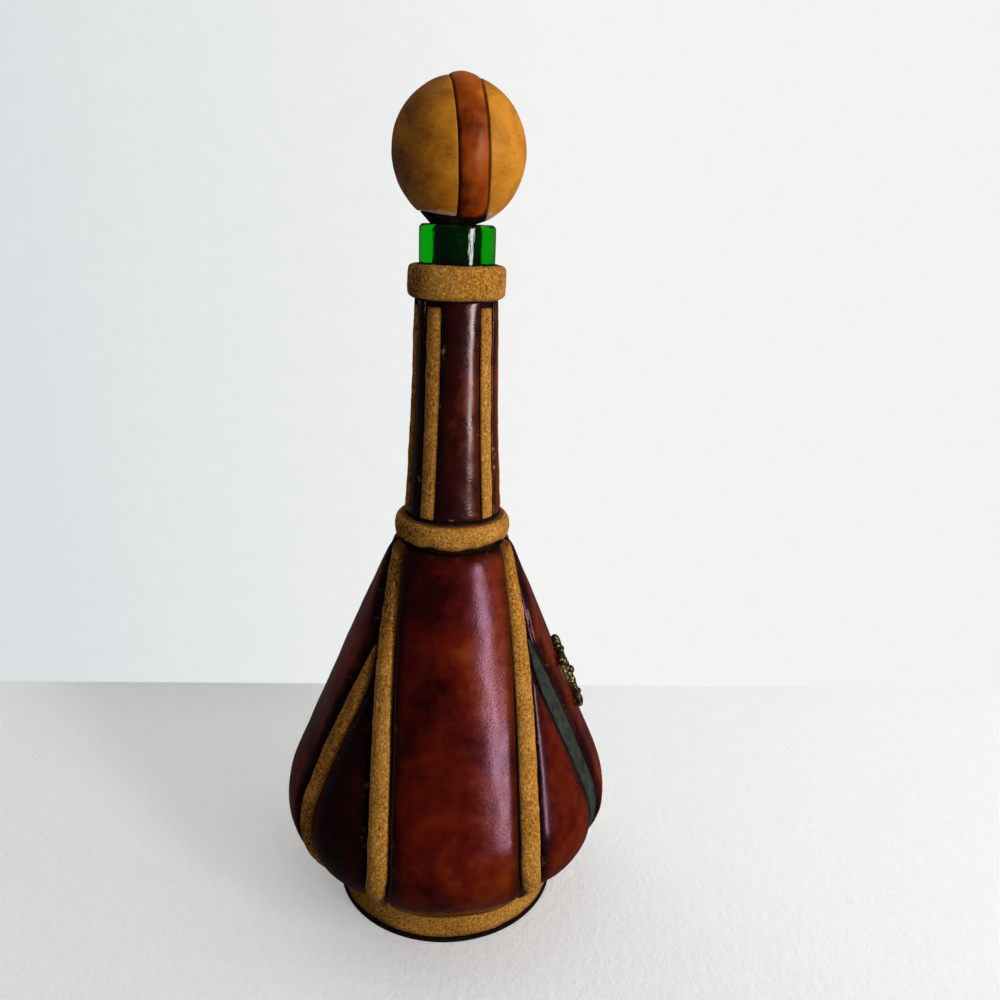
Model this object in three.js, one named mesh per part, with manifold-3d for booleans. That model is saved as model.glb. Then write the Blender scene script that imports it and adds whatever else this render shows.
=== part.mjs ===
// Leather-wrapped glass decanter with a ball stopper.
// Millimetres, +Z up, origin at the centre of the base pad's underside.
// The front, which carries the brass ornament, faces -Y. The side panels face -X and +X.
import * as THREE from 'three';
import { mergeVertices } from 'three/addons/utils/BufferGeometryUtils.js';
import Module from 'manifold-3d';

// Fits: the glue line between seated pieces, and the open groove beside a strip.
const GLUE_GAP = 0.4;
const GROOVE = 0.7;

// Base pad and foot ring. The pad stands proud of the ring's lower edge as a dark line.
const PAD_THICKNESS = 1.5;
const PAD_PROUD = 0.7;
const FOOT_RING_HEIGHT = 13;
const FOOT_RING_WIDTH = 4.4;
const FOOT_RING_DRAFT = 1.3;
const FOOT_RING_ROUND = 1.8;

// Glass bottle, outside: a straight under side, a round belly, a straight cone and a slim neck
const GLASS_BASE_RADIUS = 36;
const GLASS_BASE_CORNER = 2.2;
const BELLY_RADIUS = 65.3;
const BELLY_HEIGHT = 45.1;
const UNDER_ARC = 21.5;
const SHOULDER_ARC = 32.7;
const SHOULDER_HEIGHT = 115.5;
const NECK_ROOT_RADIUS = 19.3;
const NECK_FLARE_HEIGHT = 16.5;
const NECK_FLARE_RADIUS = 16.8;
const NECK_MID_RADIUS = 14.6;
const NECK_TOP_RADIUS = 13.6;
const NECK_LENGTH = 94.5;
const FINISH_RADIUS = 14.5;
const FINISH_SWELL = 9;
const FINISH_LENGTH = 29.6;
const LIP_ROUND = 1.2;

// Glass bottle, inside
const WALL = 3.2;
const FLOOR_THICKNESS = 6;
const BORE_RADIUS = 6;
const BORE_LENGTH = 26;

// Leather covers, as heights above the glass: liner, panel edge, panel crown, width of the rolled edge
const BODY_LINER = 0.8;
const PANEL_EDGE = 2.6;
const PANEL_CROWN = 5;
const PANEL_ROLL = 8;
const PANEL_CORNER = 5;
const GUSSET_EDGE = 2.4;
const GUSSET_CROWN = 4.4;
const GUSSET_ROLL = 11;
const GUSSET_CORNER = 3;
const STRIP_EDGE = 2.4;
const STRIP_CROWN = 5.2;
const FLAT_STRIP_HEIGHT = 2.8;
const LONG_STRIP_WIDTH = 9;
const SHORT_STRIP_WIDTH = 9.4;
const TIP_WIDTH = 0.9;
const STRIP_CORNER = 3.6;
const CORNER_SHARE = 0.35;

// Lines of the strips: degrees from a side panel's middle, at shares of the way from the belly
// up to the neck ring (1) or down to the foot ring (-1).
const LONG_STRIP_LINE = [
  [-1, 35.2], [0, 26.2], [0.28, 30.8], [0.5, 37.5], [0.69, 46.2], [0.865, 57.6], [1, 74.5],
];
const BACK_STRIP_LINE = [[-1, 57.5], [0, 61.5], [0.2, 62.4], [0.36, 60.2], [0.54, 54.5], [0.7, 46.5]];
const FRONT_STRIP_LINE = [[-1, 61], [0, 64.5], [0.2, 64], [0.36, 61.3], [0.54, 56], [0.7, 47.5]];

// Neck covers and rings. The neck strips are laid by hand: degrees from the left side's middle, by the front.
const NECK_LINER = 0.5;
const NECK_PANEL_EDGE = 2.1;
const NECK_PANEL_CROWN = 3;
const NECK_PANEL_ROLL = 3;
const NECK_STRIP_EDGE = 2;
const NECK_STRIP_CROWN = 3.1;
const NECK_STRIP_WIDTH = 6;
const NECK_STRIP_ANGLES = [44, 94, 143, 218, 282, 324.5];
const NECK_STRIP_DROP = 2;
const NECK_COVER_GAP = 1.4;
const BASE_RING_RISE = 1.2;
const BASE_RING_HEIGHT = 10.8;
const BASE_RING_PROUD = 4.5;
const BASE_RING_ROUND = 3.4;
const TOP_RING_RISE = 2.8;
const TOP_RING_HEIGHT = 12.5;
const TOP_RING_PROUD = 4.3;
const TOP_RING_ROUND = 2.4;

// Brass ornament on the front panel
const ORNAMENT_RISE = 50;
const ORNAMENT_HEIGHT = 35;
const ORNAMENT_WIDTH = 24;
const ORNAMENT_PLATE = 1.4;
const ORNAMENT_BOSS = 1.9;
const ORNAMENT_LOBES = 4;
const ORNAMENT_LOBE_DEPTH = 0.16;
const ORNAMENT_END = 0.2;

// Ball stopper
const SEAT_RADIUS = 9.8;
const SEAT_TOP_RADIUS = 12.2;
const SEAT_THICKNESS = 3.2;
const BALL_RADIUS = 24.4;
const BALL_HALF_HEIGHT = 25.8;
const BALL_SEAT_DROP = 21.1;
const CAP_THICKNESS = 2;
const STRAP_WIDTH = 11;
const STRAP_THICKNESS = 3.3;
const STRAP_EDGE = 1.9;
const STRAP_REACH = 148;
const STRAP_TURN = 4;
const STRAP_OFFSET = 1.7;
const DOWEL_RADIUS = 2.5;
const DOWEL_CLEARANCE = 0.3;
const DOWEL_IN_CORE = 15;
const DOWEL_IN_CORK = 13;
const CORK_LENGTH = 24;
const CORK_CLEARANCE = 0.35;
const CORK_TAPER = 0.5;
const CORK_CHAMFER = 0.8;

// How finely round forms are divided
const ROUND_STEPS = 28;
const BALL_STEPS = 24;
const SMALL_STEPS = 16;
const UNDER_ARC_STEPS = 4;
const SHOULDER_ARC_STEPS = 3;
const CONE_STEPS = 6;
const CONE_EASE = 1.5;
const NECK_STEPS = 6;
const EDGE_STEPS = 3;
const CORE_STEPS = 7;
const CAP_STEPS = 5;
const STRAP_STEPS = 22;

// Rows and columns of the wrapped pieces: least spacing of rows, rows of a rolled end as shares of the roll
const ROW_SPACING = 1.6;
const END_ROWS = [0, 0.3];
const FINE_END_ROWS = [0, 0.15, 0.5];
const PANEL_COLUMNS = 8;
const GUSSET_COLUMNS = 6;
const STRIP_COLUMNS = 4;
const WIDE_NECK_COLUMNS = 5;
const NECK_COLUMNS = 3;

// Heights up the bottle
const baseZ = PAD_THICKNESS + GLUE_GAP;
const footTopZ = baseZ + FOOT_RING_HEIGHT;
const cornerZ = baseZ + GLASS_BASE_CORNER;
const bellyZ = baseZ + BELLY_HEIGHT;
const rootZ = bellyZ + SHOULDER_HEIGHT;
const flareZ = rootZ + NECK_FLARE_HEIGHT;
const neckTopZ = rootZ + NECK_LENGTH;
const mouthZ = neckTopZ + FINISH_LENGTH;
const baseRingLowZ = rootZ + BASE_RING_RISE;
const baseRingTopZ = baseRingLowZ + BASE_RING_HEIGHT;
const topRingLowZ = neckTopZ + TOP_RING_RISE;
const topRingTopZ = topRingLowZ + TOP_RING_HEIGHT;

const radians = THREE.MathUtils.degToRad;
const point = (r, z) => new THREE.Vector2(r, z);

// Colours
const leather = { color: 0x5a1f12, roughness: 0.32, metalness: 0 };
const splitLeather = { color: 0xa8743a, roughness: 0.9, metalness: 0 };
const greenLeather = { color: 0x2f3a30, roughness: 0.8, metalness: 0 };
const darkBacking = { color: 0x1c100c, roughness: 0.9, metalness: 0 };
const tanLeather = { color: 0xa86f35, roughness: 0.6, metalness: 0 };
const greenGlass = { color: 0x0a7a24, roughness: 0.05, metalness: 0 };
const brass = { color: 0x7d6a3c, roughness: 0.45, metalness: 1 };
const wood = { color: 0x8a5a30, roughness: 0.7, metalness: 0 };
const cork = { color: 0x6b4a2c, roughness: 0.95, metalness: 0 };

const decanter = new THREE.Group();
const bottle = new THREE.Group();
const stopper = new THREE.Group();
decanter.add(bottle, stopper);

function addPiece(group, name, geometry, finish) {
  const mesh = new THREE.Mesh(geometry, new THREE.MeshStandardMaterial(finish));
  mesh.name = name;
  group.add(mesh);
}

// A solid turned about the Z axis from a profile of (radius, height) points.
function turned(profile, steps) {
  return new THREE.LatheGeometry(profile, steps).rotateX(Math.PI / 2);
}

// Points along a straight line or an arc, without the first one. An ease above 1 crowds a line's end.
function lineTo(from, to, steps, ease = 1) {
  return Array.from({ length: steps }, (_, i) => {
    const left = 1 - (i + 1) / steps;
    return from.clone().lerp(to, 1 - left ** ease);
  });
}

function arcTo(centre, radius, start, end, steps) {
  return Array.from({ length: steps }, (_, i) => {
    const angle = start + ((end - start) * (i + 1)) / steps;
    return point(centre.x + radius * Math.cos(angle), centre.y + radius * Math.sin(angle));
  });
}

// Polar angle, on a circle, of the point where a line from outside touches it; side is 1 or -1.
function touchAngle(centre, radius, outside, side) {
  const away = outside.clone().sub(centre);
  return away.angle() - side * Math.acos(radius / away.length());
}

// The outside of the glass, from the base corner up to the mouth.
const baseCorner = point(GLASS_BASE_RADIUS, cornerZ);
const underCentre = point(BELLY_RADIUS - UNDER_ARC, bellyZ);
const underAngle = touchAngle(underCentre, UNDER_ARC, baseCorner, -1) - 2 * Math.PI;
const underEnd = point(
  underCentre.x + UNDER_ARC * Math.cos(underAngle),
  underCentre.y + UNDER_ARC * Math.sin(underAngle),
);
const neckRoot = point(NECK_ROOT_RADIUS, rootZ);
const shoulderCentre = point(BELLY_RADIUS - SHOULDER_ARC, bellyZ);
const coneAngle = touchAngle(shoulderCentre, SHOULDER_ARC, neckRoot, 1);
const shoulderArc = arcTo(shoulderCentre, SHOULDER_ARC, 0, coneAngle, SHOULDER_ARC_STEPS);
const neckLine = new THREE.SplineCurve([
  neckRoot,
  point(NECK_FLARE_RADIUS, flareZ),
  point(NECK_MID_RADIUS, (flareZ + neckTopZ) / 2),
  point(NECK_TOP_RADIUS, neckTopZ),
]);
const glassLine = [
  baseCorner,
  ...lineTo(baseCorner, underEnd, 2),
  ...arcTo(underCentre, UNDER_ARC, underAngle, 0, UNDER_ARC_STEPS),
  ...shoulderArc,
  ...lineTo(shoulderArc.at(-1), neckRoot, CONE_STEPS, CONE_EASE),
  ...neckLine.getPoints(NECK_STEPS).slice(1),
  point(FINISH_RADIUS, neckTopZ + FINISH_SWELL),
  point(FINISH_RADIUS, mouthZ - LIP_ROUND),
];

// Outward direction of the glass at each of those points, as the mean of the two lines that meet there.
const glassNormals = glassLine.map((_, i) => {
  const before = glassLine[Math.max(i - 1, 0)];
  const after = glassLine[Math.min(i + 1, glassLine.length - 1)];
  const here = glassLine[i];
  const lower = here.clone().sub(before).normalize();
  const upper = after.clone().sub(here).normalize();
  const tangent = lower.add(upper).normalize();
  return point(tangent.y, -tangent.x);
});

// The point of a layer that lies at a given distance outside the glass, at a given height of the glass.
function skin(z, distance) {
  const found = glassLine.findIndex((end) => end.y >= z);
  const i = THREE.MathUtils.clamp(found, 1, glassLine.length - 1);
  const share = (z - glassLine[i - 1].y) / (glassLine[i].y - glassLine[i - 1].y);
  const low = glassLine[i - 1].clone().addScaledVector(glassNormals[i - 1], distance);
  const high = glassLine[i].clone().addScaledVector(glassNormals[i], distance);
  return low.lerp(high, share);
}

// Glass heights strictly between two heights.
function glassHeights(low, high) {
  return glassLine.map((p) => p.y).filter((z) => z > low && z < high);
}

function makeBottle() {
  const floorZ = baseZ + FLOOR_THICKNESS;
  const boreLowZ = mouthZ - BORE_LENGTH;
  const heel = skin(floorZ, -WALL);
  const inside = glassHeights(floorZ, boreLowZ).map((z) => skin(z, -WALL));
  const clear = inside.filter((p) => p.y > heel.y + WALL && p.y < boreLowZ - WALL).reverse();
  const cavity = clear.filter((_, i) => i % 2 === 0 || i === clear.length - 1);
  const profile = [
    point(0, baseZ),
    point(GLASS_BASE_RADIUS - GLASS_BASE_CORNER, baseZ),
    ...glassLine,
    point(FINISH_RADIUS - LIP_ROUND, mouthZ),
    point(BORE_RADIUS + LIP_ROUND, mouthZ),
    point(BORE_RADIUS, mouthZ - LIP_ROUND),
    point(BORE_RADIUS, boreLowZ),
    ...cavity,
    heel,
    point(heel.x - WALL, floorZ),
    point(0, floorZ),
  ];
  addPiece(bottle, 'glass_bottle', turned(profile, ROUND_STEPS), greenGlass);
}

// A thin sleeve that lies on the glass between two heights.
function makeLiner(name, low, high, thickness) {
  const heights = [low, ...glassHeights(low + ROW_SPACING, high - ROW_SPACING), high];
  const outer = heights.map((z) => skin(z, GLUE_GAP + thickness));
  const inner = heights.map((z) => skin(z, GLUE_GAP)).reverse();
  addPiece(bottle, name, turned([...outer, ...inner, outer[0]], ROUND_STEPS), darkBacking);
}

// A band round the glass with two rounded outer edges.
function makeNeckRing(name, low, high, proud, round) {
  const heights = [low, ...glassHeights(low + ROW_SPACING, high - ROW_SPACING), high];
  const inner = heights.map((z) => point(skin(z, GLUE_GAP).x, z)).reverse();
  const radius = Math.max(...heights.map((z) => skin(z, 0).x)) + proud;
  const lowCentre = point(radius - round, low + round);
  const highCentre = point(radius - round, high - round);
  const outer = [
    point(lowCentre.x, low),
    ...arcTo(lowCentre, round, -Math.PI / 2, 0, EDGE_STEPS),
    point(radius, high - round),
    ...arcTo(highCentre, round, 0, Math.PI / 2, EDGE_STEPS),
  ];
  addPiece(bottle, name, turned([...outer, ...inner, outer[0]], ROUND_STEPS), splitLeather);
}

// The foot ring fills the wedge under the glass, with a slightly drafted, rounded outer face.
const footRadius = skin(footTopZ, 0).x + FOOT_RING_WIDTH;

function makeFoot() {
  const topCentre = point(footRadius - FOOT_RING_ROUND, footTopZ - FOOT_RING_ROUND);
  const underNormal = -Math.sin(underAngle);
  const innerTopZ = footTopZ + GLUE_GAP * underNormal;
  const outer = [
    point(footRadius - FOOT_RING_DRAFT, baseZ),
    ...arcTo(topCentre, FOOT_RING_ROUND, 0, Math.PI / 2, EDGE_STEPS),
  ];
  const inner = [skin(innerTopZ, GLUE_GAP), skin(cornerZ, GLUE_GAP)];
  const toe = point(GLASS_BASE_RADIUS + GLUE_GAP, baseZ);
  addPiece(bottle, 'foot_ring', turned([...outer, ...inner, toe, outer[0]], ROUND_STEPS), splitLeather);
  const padRadius = footRadius - FOOT_RING_DRAFT + PAD_PROUD;
  const pad = [point(0, 0), point(padRadius, 0), point(padRadius, PAD_THICKNESS), point(0, PAD_THICKNESS)];
  addPiece(bottle, 'base_pad', turned(pad, ROUND_STEPS), darkBacking);
}

// Rounded rise of a padded surface, from 0 at its edge to 1 at the end of the rolled edge.
function rolledEdge(distance, roll) {
  const short = 1 - Math.min(distance / roll, 1);
  return Math.sqrt(1 - short * short);
}

// A closed piece wrapped over the glass between two heights and two polar angles.
// left and right give the angles at a height, and rise the height of its face above the glass,
// from the distances to the nearest side and to the nearest end. breaks are heights where its sides bend.
function wrappedPiece({ low, high, left, right, seat, rise, roll, columns, endRows = END_ROWS, breaks = [] }) {
  const ends = [...breaks, ...endRows.flatMap((share) => [low + share * roll, high - share * roll])];
  const between = glassHeights(low, high).filter((z) => ends.every((end) => Math.abs(z - end) > ROW_SPACING));
  const rows = [...ends, ...between].sort((a, b) => a - b);
  const lowEnd = skin(low, seat);
  const highEnd = skin(high, seat);
  const positions = [];
  const place = (angle, z, distance) => {
    const p = skin(z, distance);
    positions.push(p.x * Math.cos(angle), p.x * Math.sin(angle), p.y);
  };
  for (const z of rows) {
    const seatPoint = skin(z, seat);
    const endDistance = Math.min(seatPoint.distanceTo(lowEnd), seatPoint.distanceTo(highEnd));
    const [from, to] = [left(z), right(z)];
    const width = (to - from) * seatPoint.x;
    for (let i = 0; i <= columns; i += 1) {
      const share = (1 - Math.cos((Math.PI * i) / columns)) / 2;
      const sideDistance = Math.min(share, 1 - share) * width;
      place(from + (to - from) * share, z, rise(sideDistance, endDistance));
    }
    for (let i = 0; i <= columns; i += 1) {
      place(from + ((to - from) * i) / columns, z, seat);
    }
  }
  const rowLength = 2 * (columns + 1);
  const outer = (i, j) => j * rowLength + i;
  const inner = (i, j) => j * rowLength + columns + 1 + i;
  const index = [];
  const corner = (i) => new THREE.Vector3().fromArray(positions, 3 * i);
  const apart = (i, j) => corner(i).distanceTo(corner(j));
  // Each four-sided face is split along its shorter diagonal.
  const quad = (a, b, c, d) => {
    const split = apart(a, c) < apart(b, d) ? [a, b, c, a, c, d] : [a, b, d, b, c, d];
    index.push(...split);
  };
  const last = rows.length - 1;
  for (let j = 0; j < last; j += 1) {
    for (let i = 0; i < columns; i += 1) {
      quad(outer(i, j), outer(i + 1, j), outer(i + 1, j + 1), outer(i, j + 1));
      quad(inner(i, j), inner(i, j + 1), inner(i + 1, j + 1), inner(i + 1, j));
    }
    quad(outer(0, j), outer(0, j + 1), inner(0, j + 1), inner(0, j));
    quad(outer(columns, j), inner(columns, j), inner(columns, j + 1), outer(columns, j + 1));
  }
  for (let i = 0; i < columns; i += 1) {
    quad(outer(i, 0), inner(i, 0), inner(i + 1, 0), outer(i + 1, 0));
    quad(outer(i, last), outer(i + 1, last), inner(i + 1, last), inner(i, last));
  }
  const geometry = new THREE.BufferGeometry();
  geometry.setAttribute('position', new THREE.Float32BufferAttribute(positions, 3));
  geometry.setIndex(index);
  return geometry;
}

// Padded face: rises from its edge to its crown on every side.
function padded(edge, crown, roll) {
  return (side, end) => edge + (crown - edge) * rolledEdge(Math.min(side, end), roll);
}

// How far a rounded corner draws an edge in, at a distance from the end.
function cornerInset(distance, corner) {
  const short = Math.max(corner - distance, 0);
  return corner - Math.sqrt(corner * corner - short * short);
}

// Smooth curve through [place, value] pairs.
function valueAt(line, place) {
  const found = line.findIndex((pair) => pair[0] >= place);
  const i = found < 0 ? line.length - 1 : Math.max(found, 1);
  const slope = (k) => {
    const before = line[Math.max(k - 1, 0)];
    const after = line[Math.min(k + 1, line.length - 1)];
    return (after[1] - before[1]) / (after[0] - before[0]);
  };
  const [start, end] = [line[i - 1], line[i]];
  const span = end[0] - start[0];
  const t = (place - start[0]) / span;
  const [t2, t3] = [t * t, t * t * t];
  return (
    start[1] * (2 * t3 - 3 * t2 + 1) +
    slope(i - 1) * span * (t3 - 2 * t2 + t) +
    end[1] * (3 * t2 - 2 * t3) +
    slope(i) * span * (t3 - t2)
  );
}

// Body covers: their seat on the liner, and the heights of glass that they reach.
const bodySeat = 2 * GLUE_GAP + BODY_LINER;
const tallestCover = Math.max(PANEL_CROWN, GUSSET_CROWN, STRIP_CROWN, FLAT_STRIP_HEIGHT);
const bodyLowZ = footTopZ + GLUE_GAP - tallestCover * Math.sin(underAngle);
const bodyTopZ = baseRingLowZ - GLUE_GAP - tallestCover * Math.sin(coneAngle);

function bodyShare(z) {
  const span = z > bellyZ ? bodyTopZ - bellyZ : bellyZ - bodyLowZ;
  return (z - bellyZ) / span;
}

// Angle from a side panel's middle of a strip's line, and of a line beside it on the seat.
const longLine = (z) => radians(valueAt(LONG_STRIP_LINE, bodyShare(z)));
const seatAngle = (z, width) => width / skin(z, bodySeat).x;
const lowDistance = (z) => skin(z, bodySeat).distanceTo(skin(bodyLowZ, bodySeat));

const longInner = (z) => longLine(z) - seatAngle(z, LONG_STRIP_WIDTH / 2);
const longOuter = (z) => longLine(z) + seatAngle(z, LONG_STRIP_WIDTH / 2);
const besideLong = (z) => longOuter(z) + seatAngle(z, GROOVE);

// Greatest height below a limit at which a tapering piece is still as wide as its tip.
function tipHeight(inner, outer) {
  let [low, high] = [bellyZ, bodyTopZ];
  for (let i = 0; i < 40; i += 1) {
    const middle = (low + high) / 2;
    const wide = outer(middle) - inner(middle) > seatAngle(middle, TIP_WIDTH);
    [low, high] = wide ? [middle, high] : [low, middle];
  }
  return low;
}

// Edges of a short strip, the edge of the gusset beside it, and the heights at which both taper out.
function shortStrip(table) {
  const line = (z) => radians(valueAt(table, bodyShare(z)));
  const inner = (z) => Math.max(line(z) - seatAngle(z, SHORT_STRIP_WIDTH / 2), besideLong(z));
  const outer = (z) => line(z) + seatAngle(z, SHORT_STRIP_WIDTH / 2);
  const gussetOuter = (z) => line(z) - seatAngle(z, SHORT_STRIP_WIDTH / 2 + GROOVE);
  const topZ = tipHeight(inner, outer);
  const gussetTopZ = tipHeight(besideLong, gussetOuter);
  const breaks = END_ROWS.map((share) => topZ - (share * SHORT_STRIP_WIDTH) / 2);
  return { inner, outer, gussetOuter, topZ, gussetTopZ, breaks };
}

const frontStrip = shortStrip(FRONT_STRIP_LINE);
const backStrip = shortStrip(BACK_STRIP_LINE);

// The four quarters of the body: the middle of the side panel they start from, the way they go from it
// and the short strip in them.
const quarters = [
  { name: 'front_left', middle: Math.PI, way: 1, short: frontStrip },
  { name: 'back_left', middle: Math.PI, way: -1, short: backStrip },
  { name: 'front_right', middle: 0, way: -1, short: frontStrip },
  { name: 'back_right', middle: 0, way: 1, short: backStrip },
];

// Turns a pair of lines, given as angles from the side panel's middle, into a quarter's polar angles.
// A corner radius never takes more than its share of the piece's lower end.
function inQuarter(quarter, inner, outer, corner) {
  const endWidth = (outer(bodyLowZ) - inner(bodyLowZ)) * skin(bodyLowZ, bodySeat).x;
  const radius = Math.min(corner, CORNER_SHARE * endWidth);
  const inset = (z) => seatAngle(z, cornerInset(lowDistance(z), radius));
  const near = (z) => quarter.middle + quarter.way * (inner(z) + inset(z));
  const far = (z) => quarter.middle + quarter.way * (outer(z) - inset(z));
  return quarter.way > 0 ? { left: near, right: far } : { left: far, right: near };
}

// A panel that is the same on both sides of its middle; half gives its half angle at a height.
function centred(middle, half, corner) {
  const inset = (z) => seatAngle(z, cornerInset(lowDistance(z), corner));
  return {
    left: (z) => middle - half(z) + inset(z),
    right: (z) => middle + half(z) - inset(z),
  };
}

function makeBodyPanels() {
  const face = {
    seat: bodySeat,
    rise: padded(PANEL_EDGE, PANEL_CROWN, PANEL_ROLL),
    roll: PANEL_ROLL,
    columns: PANEL_COLUMNS,
    endRows: FINE_END_ROWS,
  };
  const reach = { low: bodyLowZ, high: bodyTopZ };
  const sideHalf = (z) => longInner(z) - seatAngle(z, GROOVE);
  const halfBeside = (short) => (z) => {
    const besideShort = short.outer(z) + seatAngle(z, GROOVE);
    const strip = z <= short.topZ ? Math.max(besideLong(z), besideShort) : besideLong(z);
    return Math.PI / 2 - strip;
  };
  const panels = [
    ['side_panel_left', Math.PI, sideHalf, []],
    ['side_panel_right', 0, sideHalf, []],
    ['front_panel', (3 * Math.PI) / 2, halfBeside(frontStrip), frontStrip.breaks],
    ['back_panel', Math.PI / 2, halfBeside(backStrip), backStrip.breaks],
  ];
  for (const [name, middle, half, breaks] of panels) {
    const edges = centred(middle, half, PANEL_CORNER);
    addPiece(bottle, name, wrappedPiece({ ...reach, ...edges, ...face, breaks }), leather);
  }
}

function makeQuarterPieces() {
  const roundStrip = (width) => ({
    seat: bodySeat,
    rise: padded(STRIP_EDGE, STRIP_CROWN, width / 2),
    roll: width / 2,
    columns: STRIP_COLUMNS,
  });
  const flatStrip = { ...roundStrip(SHORT_STRIP_WIDTH), rise: () => FLAT_STRIP_HEIGHT };
  const gussetFace = {
    seat: bodySeat,
    rise: padded(GUSSET_EDGE, GUSSET_CROWN, GUSSET_ROLL),
    roll: GUSSET_ROLL,
    columns: GUSSET_COLUMNS,
    endRows: FINE_END_ROWS,
  };
  for (const quarter of quarters) {
    const { short } = quarter;
    const front = short === frontStrip;
    const longEdges = inQuarter(quarter, longInner, longOuter, STRIP_CORNER);
    const longPiece = wrappedPiece({
      low: bodyLowZ, high: bodyTopZ, ...longEdges, ...roundStrip(LONG_STRIP_WIDTH),
    });
    addPiece(bottle, `long_strip_${quarter.name}`, longPiece, splitLeather);
    const shortEdges = inQuarter(quarter, short.inner, short.outer, STRIP_CORNER);
    const shortFace = front ? flatStrip : roundStrip(SHORT_STRIP_WIDTH);
    const shortPiece = wrappedPiece({ low: bodyLowZ, high: short.topZ, ...shortEdges, ...shortFace });
    addPiece(bottle, `short_strip_${quarter.name}`, shortPiece, front ? greenLeather : splitLeather);
    const gussetEdges = inQuarter(quarter, besideLong, short.gussetOuter, GUSSET_CORNER);
    const gussetPiece = wrappedPiece({
      low: bodyLowZ, high: short.gussetTopZ, ...gussetEdges, ...gussetFace,
    });
    addPiece(bottle, `gusset_${quarter.name}`, gussetPiece, leather);
  }
}

function makeNeckCovers() {
  const seat = 2 * GLUE_GAP + NECK_LINER;
  const reach = { low: baseRingTopZ + NECK_COVER_GAP, high: topRingLowZ - GLUE_GAP, seat };
  const angleOf = (z, width) => width / skin(z, seat).x;
  const panelFace = {
    rise: padded(NECK_PANEL_EDGE, NECK_PANEL_CROWN, NECK_PANEL_ROLL),
    roll: NECK_PANEL_ROLL,
  };
  const stripFace = {
    rise: padded(NECK_STRIP_EDGE, NECK_STRIP_CROWN, NECK_STRIP_WIDTH / 2),
    roll: NECK_STRIP_WIDTH / 2,
    columns: NECK_COLUMNS,
  };
  const names = ['front_left', 'front_right', 'right', 'back_right', 'back_left', 'left'];
  const lines = NECK_STRIP_ANGLES.map((angle) => Math.PI + radians(angle));
  lines.forEach((line, i) => {
    const next = i + 1 < lines.length ? lines[i + 1] : lines[0] + 2 * Math.PI;
    const strip = wrappedPiece({
      ...reach, ...stripFace,
      high: reach.high - NECK_STRIP_DROP,
      left: (z) => line - angleOf(z, NECK_STRIP_WIDTH / 2),
      right: (z) => line + angleOf(z, NECK_STRIP_WIDTH / 2),
    });
    addPiece(bottle, `neck_strip_${i + 1}`, strip, splitLeather);
    const beside = NECK_STRIP_WIDTH / 2 + GROOVE;
    const wide = names[i] === 'left' || names[i] === 'right';
    const panel = wrappedPiece({
      ...reach, ...panelFace,
      columns: wide ? WIDE_NECK_COLUMNS : NECK_COLUMNS,
      left: (z) => line + angleOf(z, beside),
      right: (z) => next - angleOf(z, beside),
    });
    addPiece(bottle, `neck_panel_${names[i]}`, panel, leather);
  });
}

// Cast ornament: a lobed plate that follows the front panel, with a raised oval in its middle.
function makeOrnament() {
  const middleZ = bellyZ + ORNAMENT_RISE;
  const low = middleZ - ORNAMENT_HEIGHT / 2;
  const high = middleZ + ORNAMENT_HEIGHT / 2;
  const seat = PANEL_CROWN + GLUE_GAP;
  const front = (3 * Math.PI) / 2;
  const half = (z) => {
    const share = (z - low) / ORNAMENT_HEIGHT;
    const oval = Math.sqrt(Math.max(1 - (2 * share - 1) ** 2, ORNAMENT_END ** 2));
    const lobe = 1 - ORNAMENT_LOBE_DEPTH * Math.cos(2 * Math.PI * ORNAMENT_LOBES * share);
    return ((ORNAMENT_WIDTH / 2) * oval * lobe) / (1 + ORNAMENT_LOBE_DEPTH) / skin(z, seat).x;
  };
  const faceHeight = seat + ORNAMENT_PLATE;
  const bossRoll = ORNAMENT_WIDTH / 3;
  const ornament = wrappedPiece({
    low, high, seat,
    left: (z) => front - half(z),
    right: (z) => front + half(z),
    rise: (side, end) => faceHeight + ORNAMENT_BOSS * rolledEdge(Math.min(side, end), bossRoll) ** 3,
    roll: bossRoll,
    columns: PANEL_COLUMNS,
    endRows: FINE_END_ROWS,
  });
  addPiece(bottle, 'ornament', ornament, brass);
}

// Ball stopper: heights
const seatZ = mouthZ + GLUE_GAP;
const seatTopZ = seatZ + SEAT_THICKNESS;
const coreLowZ = seatTopZ + GLUE_GAP;
const ballZ = seatTopZ + BALL_SEAT_DROP;
const capInner = BALL_RADIUS - CAP_THICKNESS;
const coreRadius = capInner - GLUE_GAP;
const ballStretch = BALL_HALF_HEIGHT / BALL_RADIUS;
const dowelHole = DOWEL_RADIUS + DOWEL_CLEARANCE;
const strapTurn = radians(STRAP_TURN);

function makeStopperCore() {
  const coreHalf = coreRadius * ballStretch;
  const lowAngle = Math.asin((coreLowZ - ballZ) / coreHalf);
  const round = arcTo(point(0, 0), coreRadius, lowAngle, Math.PI / 2, CORE_STEPS);
  const lowRadius = coreRadius * Math.cos(lowAngle);
  const core = [
    point(0, coreLowZ + DOWEL_IN_CORE),
    point(dowelHole, coreLowZ + DOWEL_IN_CORE),
    point(dowelHole, coreLowZ),
    point(lowRadius, coreLowZ),
    ...round.slice(0, -1).map((p) => point(p.x, ballZ + p.y * ballStretch)),
    point(0, ballZ + coreHalf),
  ];
  addPiece(stopper, 'stopper_core', turned(core, BALL_STEPS), wood);
  const washer = [
    point(dowelHole, seatZ),
    point(SEAT_RADIUS, seatZ),
    point(SEAT_TOP_RADIUS, seatTopZ),
    point(dowelHole, seatTopZ),
    point(dowelHole, seatZ),
  ];
  addPiece(stopper, 'stopper_seat', turned(washer, BALL_STEPS), darkBacking);
}

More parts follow.
